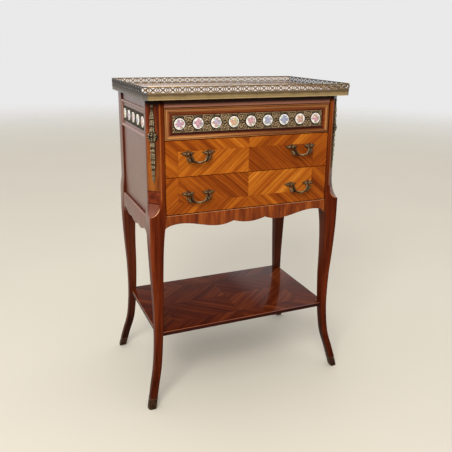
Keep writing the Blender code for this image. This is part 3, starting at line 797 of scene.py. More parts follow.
HONEY = (
    (0.05, (0.120, 0.020, 0.002)),
    (0.30, (0.200, 0.038, 0.003)),
    (0.55, (0.300, 0.068, 0.005)),
    (0.80, (0.425, 0.119, 0.009)),
    (0.98, (0.550, 0.188, 0.021)),
)
RED_BROWN = tones((0.042, 0.0055, 0.0015), (0.100, 0.0145, 0.0035), (0.190, 0.0350, 0.0085))
ORANGE_BROWN = tones((0.075, 0.0110, 0.0020), (0.180, 0.0330, 0.0045), (0.350, 0.0900, 0.0130))
TAN = tones((0.115, 0.0330, 0.0090), (0.285, 0.1040, 0.0290), (0.540, 0.2550, 0.0850))
RUSSET = tones((0.060, 0.0085, 0.0016), (0.145, 0.0250, 0.0037), (0.280, 0.0650, 0.0100))
GOLDEN = tones((0.065, 0.0110, 0.0018), (0.142, 0.0315, 0.0036), (0.270, 0.0800, 0.0105))
SHELF_BROWN = tones((0.032, 0.0045, 0.0012), (0.066, 0.0098, 0.0022), (0.124, 0.0260, 0.0060))
PLUM = tones((0.092, 0.0220, 0.0095), (0.132, 0.0340, 0.0160), (0.185, 0.0530, 0.0270))
ROSY = tones((0.220, 0.0800, 0.0480), (0.310, 0.1250, 0.0800), (0.400, 0.1800, 0.1250))
BEIGE = tones((0.150, 0.0700, 0.0470), (0.230, 0.1120, 0.0780), (0.320, 0.1650, 0.1200))
PALE_EDGE = tones((0.380, 0.1500, 0.0650), (0.570, 0.2700, 0.1300), (0.740, 0.4200, 0.2400))
SHADE = tones((0.030, 0.0060, 0.0030), (0.075, 0.0150, 0.0060), (0.130, 0.0300, 0.0100))
DARK_EDGE = tones((0.012, 0.0020, 0.0008), (0.025, 0.0040, 0.0016), (0.045, 0.0080, 0.0032))
BARE_OAK = tones((0.230, 0.1400, 0.0700), (0.360, 0.2400, 0.1300), (0.470, 0.3300, 0.1900))


def made(finish: GrainWood | QuarteredVeneer | AgedMetal | Porcelain) -> Material:
    """A field whose material is made when the set of finishes is."""
    return field(default_factory=finish.make)


@dataclass
class Finishes:
    """Every material of the cabinet, made once."""

    # Front legs: painted shade under the top's overhang and towards the floor, and painted highlight lines
    # beside the post's arrises.
    leg: Material = made(GrainWood(
        "leg_veneer", RED_BROWN, specular=0.025, contrast=1.5, upper=RUSSET, overhang_shade=0.95,
        highlight_line_at=(0.2132, 0.1197), floor_shade=0.5))
    # Outer sides of the front legs: painted shade under the top's overhang and towards the floor.
    leg_side: Material = made(GrainWood(
        "leg_side_veneer", RED_BROWN, gloss=0.34, specular=0.03, upper=PLUM, change=(0.38, 0.48),
        overhang_shade=0.5, coat=1.0, floor_shade=0.5))
    # Inner faces of the legs in a darker tone: painted shade, darker still towards the floor.
    leg_inner_shade: Material = made(GrainWood("leg_inner_shade_veneer", SHELF_BROWN, specular=0.05, floor_shade=0.6))
    # Rear legs in one dark tone: painted shade under the carcass, darker under the top's overhang and towards
    # the floor.
    rear_leg_shaded: Material = made(GrainWood("rear_leg_shaded_veneer", SHADE, specular=0.05, overhang_shade=0.8, floor_shade=0.7))
    # Chamfer veneer of the front posts, with painted shade under the top's overhang.
    post: Material = made(GrainWood(
        "post_veneer", GOLDEN, streaks=120.0, length=14.0, contrast=1.8, overhang_shade=0.97, upper=RED_BROWN,
        change=(0.57, 0.70)))
    cross: Material = made(GrainWood("cross_veneer", RED_BROWN, Axis.X, streaks=120.0))
    # Cove of the knee in a darker plum tone: partly the wood and partly painted shade.
    cove: Material = made(GrainWood("cove_veneer", PLUM, specular=0.3))
    # Painted highlight on the arris beside the knee's cove and along the front apron's top edge.
    arris: Material = made(GrainWood(
        "arris_highlight_wood", PALE_EDGE, specular=0.2, gloss=0.2, upper=RED_BROWN, change=(0.477, 0.492)))
    # Ledge of the side aprons in a lighter tone: painted light on the line where an apron meets its panel.
    ledge: Material = made(GrainWood("ledge_highlight_wood", BEIGE, Axis.Y, specular=0.6))
    joint: Material = made(GrainWood("joint_wood", SHADE, Axis.X, specular=0.02))
    # Top rail: painted shade under the top's overhang; its rosy tone is partly the wood and partly a painted
    # reflection.
    rail: Material = made(GrainWood(
        "rail_wood", ROSY, Axis.X, specular=0.1, gloss=0.2, overhang_shade=0.92, overhang_shade_at=(0.7058, 0.7150)))
    # Frieze drawer's ground in one dark tone: painted shade in the recess inside the moulding.
    ground: Material = made(GrainWood("frieze_ground_shade_wood", SHADE, Axis.X))
    apron: Material = made(GrainWood("apron_veneer", ORANGE_BROWN, streaks=190.0, length=12.0))
    frame_long: Material = made(GrainWood(
        "frieze_moulding_wood", TAN, Axis.X, 240.0, gloss=0.22, specular=0.2))
    frame_short: Material = made(GrainWood(
        "frieze_end_wood", TAN, Axis.Z, 240.0, gloss=0.22, specular=0.2))
    # Hollow of the frieze moulding in a darker tone: painted shade in the recess.
    frame_hollow_shade: Material = made(GrainWood("frieze_hollow_shade_wood", RUSSET, Axis.X, 240.0, gloss=0.22))
    # Lower hollow of the frieze moulding, darker still: painted shade.
    frame_foot_shade: Material = made(GrainWood("frieze_foot_shade_wood", DARK_EDGE, Axis.X, 240.0, specular=0.2))
    side_frame: Material = made(GrainWood("side_moulding_wood", BEIGE, Axis.Y, 240.0, specular=0.7))
    drawer: Material = made(QuarteredVeneer(
        "drawer_veneer", HONEY, Lie.FRONT, (-0.0054, 0.5531), (0.169, 0.0574), contrast=1.05,
        specular=0.05))
    shelf: Material = made(QuarteredVeneer(
        "shelf_veneer", SHELF_BROWN, Lie.LEVEL, (-0.002, -0.004), (0.172, 0.096), gloss=0.2,
        specular=0.01, shift=0.1, contrast=1.15, fineness=0.5, coat=0.19, coat_gloss=0.06,
        polish_from=0.03, polish_to=0.11))
    shelf_edge: Material = made(GrainWood("shelf_edge_wood", DARK_EDGE, Axis.X, specular=0.05))
    # Painted highlight along the shelf's upper arris, in a lighter tone and glossy.
    shelf_arris_highlight: Material = made(GrainWood("shelf_arris_highlight_wood", RUSSET, Axis.X, gloss=0.12, specular=1.0))
    top: Material = made(QuarteredVeneer(
        "top_veneer", TAN, Lie.LEVEL, (0.0, -0.005), (0.19, 0.11), gloss=0.14, specular=0.5, coat=1.0,
        coat_ior=2.1, polish_from=0.36, polish_to=0.06))
    side: Material = made(QuarteredVeneer(
        "side_veneer", PLUM, Lie.SIDE, (0.0, 0.547), (0.5, 0.5), contrast=0.6, shift=0.0, gloss=0.42,
        specular=1.0, coat=0.7, coat_gloss=0.38))
    side_apron: Material = made(GrainWood("side_apron_veneer", PLUM, gloss=0.36, specular=1.0))
    bare: Material = made(GrainWood("bare_drawer_wood", BARE_OAK, Axis.Y, 90.0, 3.0, 0.6))
    bare_back: Material = made(GrainWood("bare_back_wood", BARE_OAK, Axis.Z, 60.0, 2.0, 0.62))
    brass: Material = made(AgedMetal(
        "aged_brass", (0.54, 0.385, 0.185), (0.19, 0.130, 0.066), green=0.1, rough=0.34, spots=60.0))
    # Shaded copy of the brass: painted shade on the band's sides, back and left cant.
    shaded_brass: Material = made(AgedMetal(
        "shaded_brass", (0.21, 0.185, 0.160), (0.12, 0.105, 0.092), green=0.1, rough=0.45, spots=60.0))
    # Gallery brass for the front, a lit copy for the back run and a shaded copy for the sides and cants:
    # painted light and shade.
    gallery: Material = made(AgedMetal(
        "gallery_brass", (0.27, 0.160, 0.050), (0.105, 0.062, 0.020), green=0.05, spots=60.0))
    lit_gallery: Material = made(AgedMetal(
        "lit_gallery_brass", (0.46, 0.285, 0.080), (0.19, 0.115, 0.035), green=0.05, spots=60.0))
    shaded_gallery: Material = made(AgedMetal(
        "shaded_gallery_brass", (0.075, 0.062, 0.052), (0.035, 0.029, 0.024), green=0.05, spots=60.0))
    bronze: Material = made(AgedMetal("patinated_bronze", (0.46, 0.36, 0.22), (0.030, 0.020, 0.011)))
    handle: Material = made(AgedMetal(
        "handle_bronze", (0.45, 0.300, 0.160), (0.045, 0.023, 0.010), green=0.15))
    gilt: Material = made(AgedMetal("gilt_relief", (0.60, 0.43, 0.25), (0.022, 0.012, 0.006), green=0.1))
    # Shaded copy of the gilt relief for the side strips: painted shade.
    side_gilt_shaded: Material = made(AgedMetal(
        "shaded_gilt_relief", (0.16, 0.12, 0.075), (0.018, 0.012, 0.008), green=0.1))
    sabot: Material = made(AgedMetal(
        "dark_sabot_bronze", (0.120, 0.056, 0.030), (0.040, 0.019, 0.011), green=0.05))
    porcelain: Material = made(Porcelain())


class LegFace(IntEnum):
    """Material slots of a leg."""

    VENEER = 0
    POST = 1
    JOINT = 2
    CROSS = 3
    SIDE = 4
    COVE = 5
    ARRIS = 6
    # Inner faces, painted darker as shade.
    INNER_SHADE = 7


@dataclass
class Legs:
    """Four curved legs that run up as corner posts, and their bronze shoes.

    A section has five corners of four points each, so its faces come in 20 columns.
    """

    outer_side = slice(7, 11)
    joint_columns = slice(9, 13)
    chamfer_column = 11
    front_arris = slice(13, 15)
    inner_side = slice(16, 20)
    half_x: float = 0.238
    half_y: float = 0.1445
    height: float = 0.4685
    top: float = 0.7219
    post: float = 0.0345
    chamfer: float = 0.024
    bulge: float = 0.0035
    blend: float = 0.040
    cove: float = 0.052
    corner_cut: float = 0.0016
    sweep_past: float = 0.0003
    shoe: float = 0.025
    shoe_cut: float = 0.0045
    shoe_bead: float = 0.0007
    shoe_waist: float = 0.00024
    lip: float = 0.0008
    edge: float = 0.0014
    cove_edge: float = 0.0008
    cove_edge_at: float = 0.014
    stations: Array = field(default_factory=lambda: np.array([
        (0.00, 0.0231, 0.0170), (0.10, 0.0127, 0.0173), (0.20, 0.0021, 0.0178), (0.30, -0.0025, 0.0183),
        (0.40, -0.0042, 0.0193), (0.55, -0.0031, 0.0224), (0.70, 0.0006, 0.0262), (0.86, 0.0033, 0.0312),
        (1.00, 0.0035, 0.0380)]))
    joints: tuple[float, float] = (0.4965, 0.5235)
    joint_width: float = 0.0024

    def station(self, share: Array, column: int) -> Array:
        """A smooth curve through the stations: cubic pieces with slopes from the neighbours on both sides.

        Args:
            share: Shares of the leg's height.
            column: Column of the table to read.

        Returns:
            The value at each share.
        """
        at, value = self.stations[:, 0], self.stations[:, column]
        slope = np.empty_like(value)
        slope[1:-1] = (value[2:] - value[:-2]) / (at[2:] - at[:-2])
        slope[0] = (value[1] - value[0]) / (at[1] - at[0])
        slope[-1] = (value[-1] - value[-2]) / (at[-1] - at[-2])
        low = np.clip(np.searchsorted(at, share, side="right") - 1, 0, len(at) - 2)
        run = at[low + 1] - at[low]
        t = (share - at[low]) / run
        return ((2 * t**3 - 3 * t**2 + 1) * value[low] + (t**3 - 2 * t**2 + t) * run * slope[low]
                + (3 * t**2 - 2 * t**3) * value[low + 1] + (t**3 - t**2) * run * slope[low + 1])

    def outer(self, level: Array) -> Array:
        """How far the outer faces stand out from the carcass at each level."""
        fade = np.clip((level - self.height) / self.blend, 0.0, 1.0)
        above = self.bulge * (1 - fade) ** 2 * (1 + 2 * fade)
        return np.where(level <= self.height, self.station(np.minimum(level / self.height, 1.0), 1), above)

    def inner(self, level: Array) -> Array:
        """How far the inner faces stand out, so below zero, at each level."""
        width = self.station(np.minimum(level / self.height, 1.0), 2)
        return np.where(level <= self.height, self.outer(level) - width, -self.post)

    def cut(self, level: Array) -> Array:
        """Width cut off the outer corner: a chamfer that sweeps out to the knee along a quarter round.

        Args:
            level: Levels above the floor.

        Returns:
            The width at each level.
        """
        deep = self.chamfer / math.sqrt(2)
        outside = -self.bulge * math.sqrt(2) - self.sweep_past
        sine = np.clip(1 - (level - self.height) / self.cove, 0.0, 1.0)
        depth = outside + (deep - outside) * np.sqrt(1 - sine**2)
        swept = np.maximum(math.sqrt(2) * depth + 2 * self.outer(level), self.corner_cut)
        return np.where(level <= self.height, self.corner_cut, swept)

    def section(
        self, level: Array, cut: Array, signs: tuple[float, float], grow: Array | float = 0.0
    ) -> Array:
        """Rounded five-cornered sections of a leg at several levels.

        Args:
            level: Levels above the floor.
            cut: Width cut off the outer corner at each.
            signs: Which side and which end of the carcass.
            grow: Extra size on every face.

        Returns:
            Rows of points round the leg.
        """
        far = self.outer(level) + grow
        near = self.inner(level) - grow
        xo, yo = self.half_x + far, self.half_y + far
        xi, yi = self.half_x + near, self.half_y + near
        corners = np.stack([np.stack(pair, -1) for pair in
                            ((xi, yi), (xo, yi), (xo, yo - cut), (xo - cut, yo), (xi, yo))], axis=1)
        soft = self.edge + self.cove_edge * bell(level, self.height + self.cove_edge_at, self.cove_edge_at)
        plan = rounded(corners, soft[:, None, None], 4) * np.array(signs)
        return np.concatenate([plan, np.broadcast_to(level[:, None, None], (*plan.shape[:2], 1))], axis=-1)

    def slots(self, levels: Array, front: bool) -> Array:
        """Material slots of a leg's faces, by level and by column round the section.

        Args:
            levels: Levels of the sections.
            front: Whether the leg has a chamfered post.

        Returns:
            One slot for each face.
        """
        slots = np.zeros((len(levels) - 1, 20), int)
        slots[:, self.outer_side] = LegFace.SIDE
        # Inner faces take the darker finish that paints their shade.
        slots[:, self.inner_side] = LegFace.INNER_SHADE
        if front:
            low, high = self.joints
            middles = (levels[1:] + levels[:-1]) / 2
            lines = np.abs(middles[:, None] - np.array(self.joints)).min(axis=1) < self.joint_width / 2
            # Painted highlight on the front arris beside the cove.
            slots[(middles > self.height) & (middles < low), self.front_arris] = LegFace.ARRIS
            slots[middles > self.height, self.chamfer_column] = LegFace.COVE
            slots[middles > low, self.chamfer_column] = LegFace.CROSS
            slots[middles > high, self.chamfer_column] = LegFace.POST
            slots[lines, self.joint_columns] = LegFace.JOINT
        return slots

    def dress(self, finishes: Finishes) -> None:
        """Builds the legs and shoes and sets them on the carcass.

        Args:
            finishes: Materials.
        """
        knee = np.linspace(self.height, self.height + self.cove, 28)
        seams = (np.array(self.joints)[:, None] + np.array([-0.5, 0.5]) * self.joint_width).ravel()
        below = np.linspace(self.shoe, self.height, 72)
        above = np.linspace(self.joints[1] + 0.02, self.top, 6)
        levels = np.unique(np.concatenate([below, knee, seams, above]))
        for end, sign_y in (("front", -1.0), ("rear", 1.0)):
            for side, sign_x in SIDES:
                corner, signs, front = f"{end}_{side}", (sign_x, sign_y), end == "front"
                cut = self.cut(levels) if front else np.full_like(levels, self.corner_cut)
                points = self.section(levels, cut, signs)
                shape = Shape().grid(points, around=True, ends=True, slot=self.slots(levels, front))
                woods = [finishes.leg if front else finishes.rear_leg_shaded, finishes.post, finishes.joint,
                         finishes.cross, finishes.leg_side, finishes.cove, finishes.arris, finishes.leg_inner_shade]
                leg = shape.build(f"leg_{corner}_veneered", woods, 30)
                place(leg, CARCASS, "leg_mahogany", f"leg_{corner}")
                shoe = self.shoe_shape(signs).build(f"sabot_{corner}_cast", [finishes.sabot], 40)
                place(shoe, CARCASS, "patinated_bronze", f"sabot_{corner}")

    def shoe_shape(self, signs: tuple[float, float]) -> Shape:
        """A shoe: the foot's section grown by a bell-shaped bead under the rim and a sine-shaped waist.

        Args:
            signs: Which side and which end of the carcass.

        Returns:
            The closed shape, with flutes in its relief.
        """
        levels = np.linspace(0.0, self.shoe, 26)
        share = levels / self.shoe
        bead = bell(share, 0.93, 0.06)
        waist = np.sin(math.pi * np.clip(share / 0.86, 0.0, 1.0))
        grow = self.lip - self.shoe_bead + self.shoe_bead * bead + self.shoe_waist * waist
        points = self.section(levels, np.full_like(levels, self.shoe_cut), signs, grow)
        flutes = wave(np.arange(points.shape[1])[None] * 2.1 + share[:, None] * 9)
        relief = 0.25 + 0.45 * flutes + 0.4 * bead[:, None]
        return Shape().grid(points, around=True, ends=True, relief=np.clip(relief, 0, 1))


@dataclass
class Top:
    """Tabletop, its brass edge band and the pierced gallery."""

    cant: float = 0.010
    band: float = 0.0026
    clearance: float = 0.0001
    board_ease: float = 0.0004
    line_inset: float = 0.00125
    seat: float = 0.0003
    rail: float = 0.0024
    rail_proud: float = 0.0003
    foot: float = 0.0016
    thick: float = 0.0016
    pitch: float = 0.0206
    ring: float = 0.0074
    bar: float = 0.00115

    def outline(self, low: Array, high: Array) -> Array:
        """Plan of the top with its two front corners cut off, anticlockwise."""
        x, front, back = high[0], low[1], high[1]
        return np.array([(-x + self.cant, front), (x - self.cant, front), (x, front + self.cant),
                         (x, back), (-x, back), (-x, front + self.cant)])

    def band_profile(self, bottom: float, top: float) -> Array:
        """Section of the band: a bead at the top, a shallow hollow and a quirk at the bottom.

        The face's depth is a constant less a bell curve at each end and a soft step between them.

        Args:
            bottom: Lower level of the band.
            top: Upper level of the band.

        Returns:
            Pairs of distance inwards and level.
        """
        share = np.linspace(0.0, 1.0, 22)
        ends = bell(share, 0.93, 0.055) + bell(share, 0.05, 0.05)
        face = 0.0010 - 0.0010 * ends - 0.0005 * smooth(share, 0.15, 0.8)
        outside = np.stack([np.clip(face, 0.0, None), bottom + (top - bottom) * share], axis=1)
        return np.concatenate([outside, [(self.band, top), (self.band, bottom)]])

    def unit(self, pitch: float, low: float, high: float, ringed: bool) -> Shape:
        """One length of lattice: two crossed bars, and an oval ring at its start.

        A bar's radius swells by a bell curve at the crossing, and the ring is a torus drawn out upwards.

        Args:
            pitch: Length of the unit.
            low: Level of the foot rail's top.
            high: Level of the top rail's underside.
            ringed: Whether the ring is there.

        Returns:
            The shape, with its middle at the origin.
        """
        middle, reach = (low + high) / 2, (high - low) / 2 + 0.0004
        half = (pitch - self.ring) / 2 + 0.0002 if ringed else pitch / 2
        shape = Shape()
        for sign in (-1.0, 1.0):
            share = np.linspace(-1.0, 1.0, 5)
            path = np.stack([share * half, np.zeros(5), middle + sign * share * reach], axis=1)
            radii = self.bar * (1 + 0.25 * bell(share, 0.0, 0.3))
            shape.grid(tube(path, radii, 6, 0.8), around=True, ends=True)
        if ringed:
            turn, swing = turns(18)[:, None], turns(6)[None]
            wide = self.ring / 2 - self.bar + self.bar * np.cos(swing)
            tall = reach - self.bar + self.bar * np.cos(swing)
            ring = np.broadcast_arrays(-pitch / 2 + wide * np.cos(turn), 0.0007 * np.sin(swing),
                                       middle + tall * np.sin(turn))
            shape.grid(np.stack(ring, axis=-1), around=True, along=True)
        return shape

    def lattice(self, start: Array, end: Array, low: float, high: float, ringed: bool) -> tuple[Shape, Array]:
        """Units of lattice spread along a straight run, with the frames that place them.

        Args:
            start: Plan point where the run starts.
            end: Plan point where it ends.
            low: Level of the foot rail's top.
            high: Level of the top rail's underside.
            ringed: Whether the units have rings.

        Returns:
            One unit, and a matrix for each copy.
        """
        run = end - start
        length = float(np.linalg.norm(run))
        count = max(round(length / self.pitch), 1)
        along = run / length
        frames = np.tile(np.eye(4), (count, 1, 1))
        frames[:, :2, 0] = along
        frames[:, :2, 1] = along[1], -along[0]
        frames[:, :2, 3] = start + run * ((np.arange(count) + 0.5) / count)[:, None]
        return self.unit(length / count, low, high, ringed), frames

    def dress(self, finishes: Finishes) -> None:
        """Builds the slab, the band and the four sides of the gallery.

        Args:
            finishes: Materials.
        """
        low, high = corners_of("top_edge_band")
        outline = self.outline(low, high)
        lift = Facing.UP.lift()
        board = drawn_in(outline, [self.band + self.clearance])[0]
        points = slab(board, low[2] + 2 * self.clearance, high[2], self.board_ease, lift)
        tabletop = Shape().grid(points, around=True, ends=True).build("tabletop_polished", [finishes.top], 15)
        place(tabletop, CARCASS, "shelf_veneer", "tabletop")
        profile = self.band_profile(low[2], high[2])
        # Painted reflection: the relief rises towards the band's bottom, so its brass is brighter there and
        # darker at its top.
        wear_and_sheen = 0.95 - 0.85 * smooth((profile[:, 1:] - low[2]) / (high[2] - low[2]), 0.25, 1.0)
        # Front in the brass, right cant in the shaded gallery brass and other faces in the shaded brass:
        # painted shade.
        sides = np.array([0, 2, 1, 1, 1, 1])
        points = moulding(outline, profile, lift)
        shape = Shape().grid(points, around=True, along=True, slot=sides, relief=wear_and_sheen)
        metals = [finishes.brass, finishes.shaded_brass, finishes.shaded_gallery]
        place(shape.build("edge_band_moulded", metals, 30), CARCASS, "aged_brass", "top_edge_band")
        self.dress_gallery(outline, high[2], finishes)

    def dress_gallery(self, outline: Array, base: float, finishes: Finishes) -> None:
        """Builds the rails as mouldings and the lattice between them.

        Args:
            outline: Plan of the top.
            base: Level of the top's surface.
            finishes: Materials.
        """
        top = corners_of("gallery_front")[1][2]
        foot_low = base + self.seat
        foot_top, rail_low = foot_low + self.foot, top - self.rail
        line = drawn_in(outline, [self.line_inset])[0]
        turn = turns(12)
        round_x, round_z = (np.sign(part) * np.abs(part) ** 0.6 for part in (np.cos(turn), np.sin(turn)))
        rails = Shape()
        half = self.thick / 2
        for low, high, wide in ((rail_low, top, half + self.rail_proud), (foot_low, foot_top, half)):
            profile = np.stack([wide * round_x, (low + high) / 2 + (high - low) / 2 * round_z], axis=1)
            points = moulding(line, profile, Facing.UP.lift())
            # Rails: front and back in the gallery brass, cants and sides in the shaded copy as painted shade.
            rails.grid(points, around=True, along=True, slot=np.array([0, 1, 1, 0, 1, 1]))
        cants = (1, 5)
        runs = {"front": (0, *cants), "right": (2,), "back": (3,), "left": (4,)}
        # Back run in the lit copy and sides in the shaded copy: painted light and shade.
        metals = {"front": finishes.gallery, "back": finishes.lit_gallery}
        for name, edges in runs.items():
            shape = Shape()
            for edge in edges:
                start, end = line[edge], line[(edge + 1) % len(line)]
                shape.tiled(*self.lattice(start, end, foot_top, rail_low, edge not in cants))
            piece = shape.build(f"gallery_{name}_lattice", [metals.get(name, finishes.shaded_gallery)], 40)
            place(piece, CARCASS, "aged_brass", f"gallery_{name}")
        piece = rails.build("gallery_rails", [finishes.gallery, finishes.shaded_gallery], 40)
        place(piece, CARCASS, "aged_brass")


@dataclass(frozen=True)
class Posy:
    """A painted bunch of flowers: two petal colours, a leaf colour and a seed for its arrangement."""

    petals: Colour
    second: Colour
    seed: int
    leaf: Colour = (0.16, 0.30, 0.10)
    pale: Colour = (0.80, 0.72, 0.70)
    pollen: Colour = (0.55, 0.36, 0.06)
    white: Colour = (0.80, 0.76, 0.70)

    def paint(self, across: Array, up: Array) -> Array:
        """Lays leaves, then blossoms of five waved petals, over white.

        Args:
            across: Distance across in radii.
            up: Distance up in radii.

        Returns:
            A colour at each point.
        """
        pick = np.random.default_rng(self.seed)
        canvas = np.broadcast_to(np.array(self.white), (*across.shape, 3)).copy()

        def lay(colour: Array, cover: Array) -> None:
            """Covers the canvas by a share at each point."""
            canvas[:] = canvas + (colour - canvas) * cover[..., None]

        for number in range(11):
            angle = 2.4 * number + pick.uniform(-0.4, 0.4)
            reach = pick.uniform(0.40, 0.84)
            x, y = across - reach * math.cos(angle), up - reach * math.sin(angle)
            bend = angle + pick.uniform(-0.8, 0.8)
            long = (x * math.cos(bend) + y * math.sin(bend)) / 0.26
            wide = (y * math.cos(bend) - x * math.sin(bend)) / 0.12
            green = np.array(self.leaf) * pick.uniform(0.7, 1.5)
            lay(green, smooth(1 - long**2 - wide**2, 0.0, 0.5) * 0.8)
        main, second = np.array(self.petals), np.array(self.second)
        spots = [(0.10, 0.12, 0.56, main), (-0.42, -0.32, 0.38, second), (0.42, -0.42, 0.33, main),
                 (-0.45, 0.42, 0.30, second), (0.58, 0.36, 0.26, second), (0.0, -0.72, 0.20, main)]
        spin = pick.uniform(0, 2 * math.pi)
        for x0, y0, size, colour in spots:
            x = across - x0 * math.cos(spin) + y0 * math.sin(spin)
            y = up - x0 * math.sin(spin) - y0 * math.cos(spin)
            far, angle = np.hypot(x, y) / size, np.arctan2(y, x)
            edge = 0.86 + 0.14 * np.cos(5 * angle + pick.uniform(0, 6))
            rings = wave(far * 9 + 2.2 * np.cos(angle * 2.5 + far * 3))
            tint = colour * 0.8 + (np.array(self.pale) - colour) * (rings * 0.42)[..., None]
            lay(tint, smooth(edge - far, -0.05, 0.12) * 0.86)
            lay(colour * 0.35, bell(edge - far, 0.05, 0.09) * 0.45)
            lay(np.array(self.pollen), smooth(0.20 - far, 0.0, 0.1) * 0.7)
        return canvas


PINK, PURPLE, LILAC = (0.55, 0.11, 0.26), (0.34, 0.10, 0.34), (0.36, 0.26, 0.50)
BLUE, ORANGE, YELLOW, ROSE = (0.10, 0.16, 0.48), (0.62, 0.20, 0.06), (0.60, 0.42, 0.08), (0.50, 0.16, 0.16)

FRONT_POSIES = (
    Posy(PURPLE, PINK, 3), Posy(PINK, PURPLE, 8), Posy(LILAC, ROSE, 13), Posy(ORANGE, YELLOW, 21),
    Posy(PINK, ROSE, 34), Posy(BLUE, LILAC, 55), Posy(BLUE, BLUE, 89), Posy(ROSE, ORANGE, 144),
    Posy(PINK, ROSE, 233),
)
SIDE_POSIES = (
    Posy(YELLOW, ROSE, 5), Posy(LILAC, PURPLE, 9), Posy(PINK, ROSE, 14), Posy(BLUE, YELLOW, 22),
    Posy(ORANGE, PINK, 35),
)


@dataclass
class PlaqueStrip:
    """A chased strip with a row of round painted plaques."""

    facing: Facing
    node: str
    body: str
    posies: tuple[Posy, ...]
    diameter: float = 0.0265
    end_margin: float = 0.0028
    step: float = 0.00062
    thick: float = 0.0012
    relief_height: float = 0.0011
    mesh_pitch: float = 0.0042
    pearl_pitch: float = 0.0030
    plaque_inset: float = 0.0011
    plaque_edge: float = 0.0020
    plaque_dome: float = 0.0016
    plaque_back: float = 0.0008

    def centres(self, half: float) -> Array:
        """Where the plaques sit along the strip, evenly spaced between its ends."""
        reach = half - self.end_margin - self.diameter / 2
        return np.linspace(-reach, reach, len(self.posies))

    def relief(self, across: Array, up: Array, centres: Array, half_up: float) -> Array:
        """Height share of the chasing.

        A bezel and a rope are bell curves round each plaque, a scroll is a spiral of bands of the cosine of
        its radius less its turn, a mesh is a product of cosines, and a boss is a bell curve in each gap.

        Args:
            across: Distances along the strip.
            up: Distances up from its middle line.
            centres: Where the plaques sit.
            half_up: Half the strip's height.

        Returns:
            Shares from 0 to 1.
        """
        radius = self.diameter / 2
        near = np.min(np.abs(across[..., None] - centres), axis=-1)
        far, angle = np.hypot(near, up), np.arctan2(up, near)
        groove = bell(far, radius - 0.0002, 0.0009)
        bezel = bell(far, radius + 0.0019, 0.0007) * (0.75 + 0.25 * np.cos(angle * 22))
        rope = bell(far, radius + 0.0046, 0.0008) * (0.55 + 0.45 * np.cos(angle * 30))
        pitch = centres[1] - centres[0]
        gap = (across - centres[0] + pitch / 2) % pitch
        along, high = np.minimum(gap, pitch - gap), np.abs(up)
        x, y = along - 0.0048, high - half_up * 0.62
        swirl = np.hypot(x, y)
        spiral = wave(swirl * 2 * math.pi / 0.0044 - 2 * np.arctan2(y, x))
        scroll = 0.85 * smooth(spiral, 0.3, 0.75) * smooth(0.0085 - swirl, 0.0, 0.0015)
        lines = 2 * math.pi / self.mesh_pitch
        mesh = 0.6 * smooth(0.5 + 0.5 * np.cos(across * lines) * np.cos(up * lines), 0.55, 0.9)
        pearls = 0.6 + 0.4 * np.cos(across * 2 * math.pi / self.pearl_pitch)
        rim = smooth(high, half_up - 0.0018, half_up - 0.0010) * pearls
        boss = 0.8 * bell(np.hypot(along, up * 0.8), 0.0, 0.0027)
        chased = np.maximum.reduce([scroll, mesh, rim, rope, boss])
        clear = smooth(far, radius + 0.001, radius + 0.002)
        return np.clip(np.maximum(chased * clear, bezel) - groove, 0.0, 1.0)

    def dress(self, finishes: Finishes) -> None:
        """Builds the strip as a height field with a flat back, and one plaque for each posy.

        Args:
            finishes: Materials.
        """
        low, high = corners_of(self.node)
        axes = np.array(self.facing.value, float)
        middle = (low + high) / 2
        half = np.abs(axes @ (high - low) / 2)
        origin = middle - axes[2] * half[2]
        lift = self.facing.lift(origin)
        centres = self.centres(half[0])
        across = np.arange(-half[0], half[0] + self.step / 2, self.step)
        up = np.linspace(-half[1], half[1], round(2 * half[1] / self.step))
        grid_across, grid_up = np.meshgrid(across, up)
        height = self.relief(grid_across, grid_up, centres, half[1])
        face = lift(grid_across, grid_up, self.thick * 0.55 + height * self.relief_height)
        strip = Shape().grid(face, relief=height)
        edge = np.concatenate([face[0], face[1:, -1], face[-1, -2::-1], face[-2:0:-1, 0]])
        depth = (edge - origin) @ axes[2]
        strip.grid(np.stack([edge, edge - depth[:, None] * axes[2]]), around=True)
        strip.faces.append((strip.count - len(edge) + np.arange(len(edge))).tolist())
        strip.slots.append(0)
        # Side strips take the shaded copy of the gilt: painted shade.
        metal = finishes.gilt if self.facing is Facing.FRONT else finishes.side_gilt_shaded
        place(strip.build(f"{self.node}_chased", [metal], 60), self.body, "patinated_bronze", self.node)
        self.dress_plaques(lift, centres, finishes)

    def dress_plaques(self, lift: Lift, centres: Array, finishes: Finishes) -> None:
        """Builds the plaques: discs domed by one less the square of the radius, with a straight rim.

        Args:
            lift: Puts distances on the strip into the world.
            centres: Where the plaques sit.
            finishes: Materials.
        """
        radius = self.diameter / 2 - self.plaque_inset
        share = np.concatenate([np.linspace(0.004, 0.97, 30), [1.0, 1.0]])[:, None]
        out = self.plaque_edge + self.plaque_dome * (1 - share**2)
        out[-1] = self.plaque_back
        x, y = share * np.cos(turns(84)), share * np.sin(turns(84))
        for number, (centre, posy) in enumerate(zip(centres, self.posies), 1):
            points = lift(centre + radius * x, radius * y, out)
            disc = Shape().grid(points, around=True, ends=True, paint=posy.paint(x, y))
            piece = disc.build(f"{self.node}_plaque_{number}", [finishes.porcelain], 40)
            place(piece, self.body, "patinated_bronze")


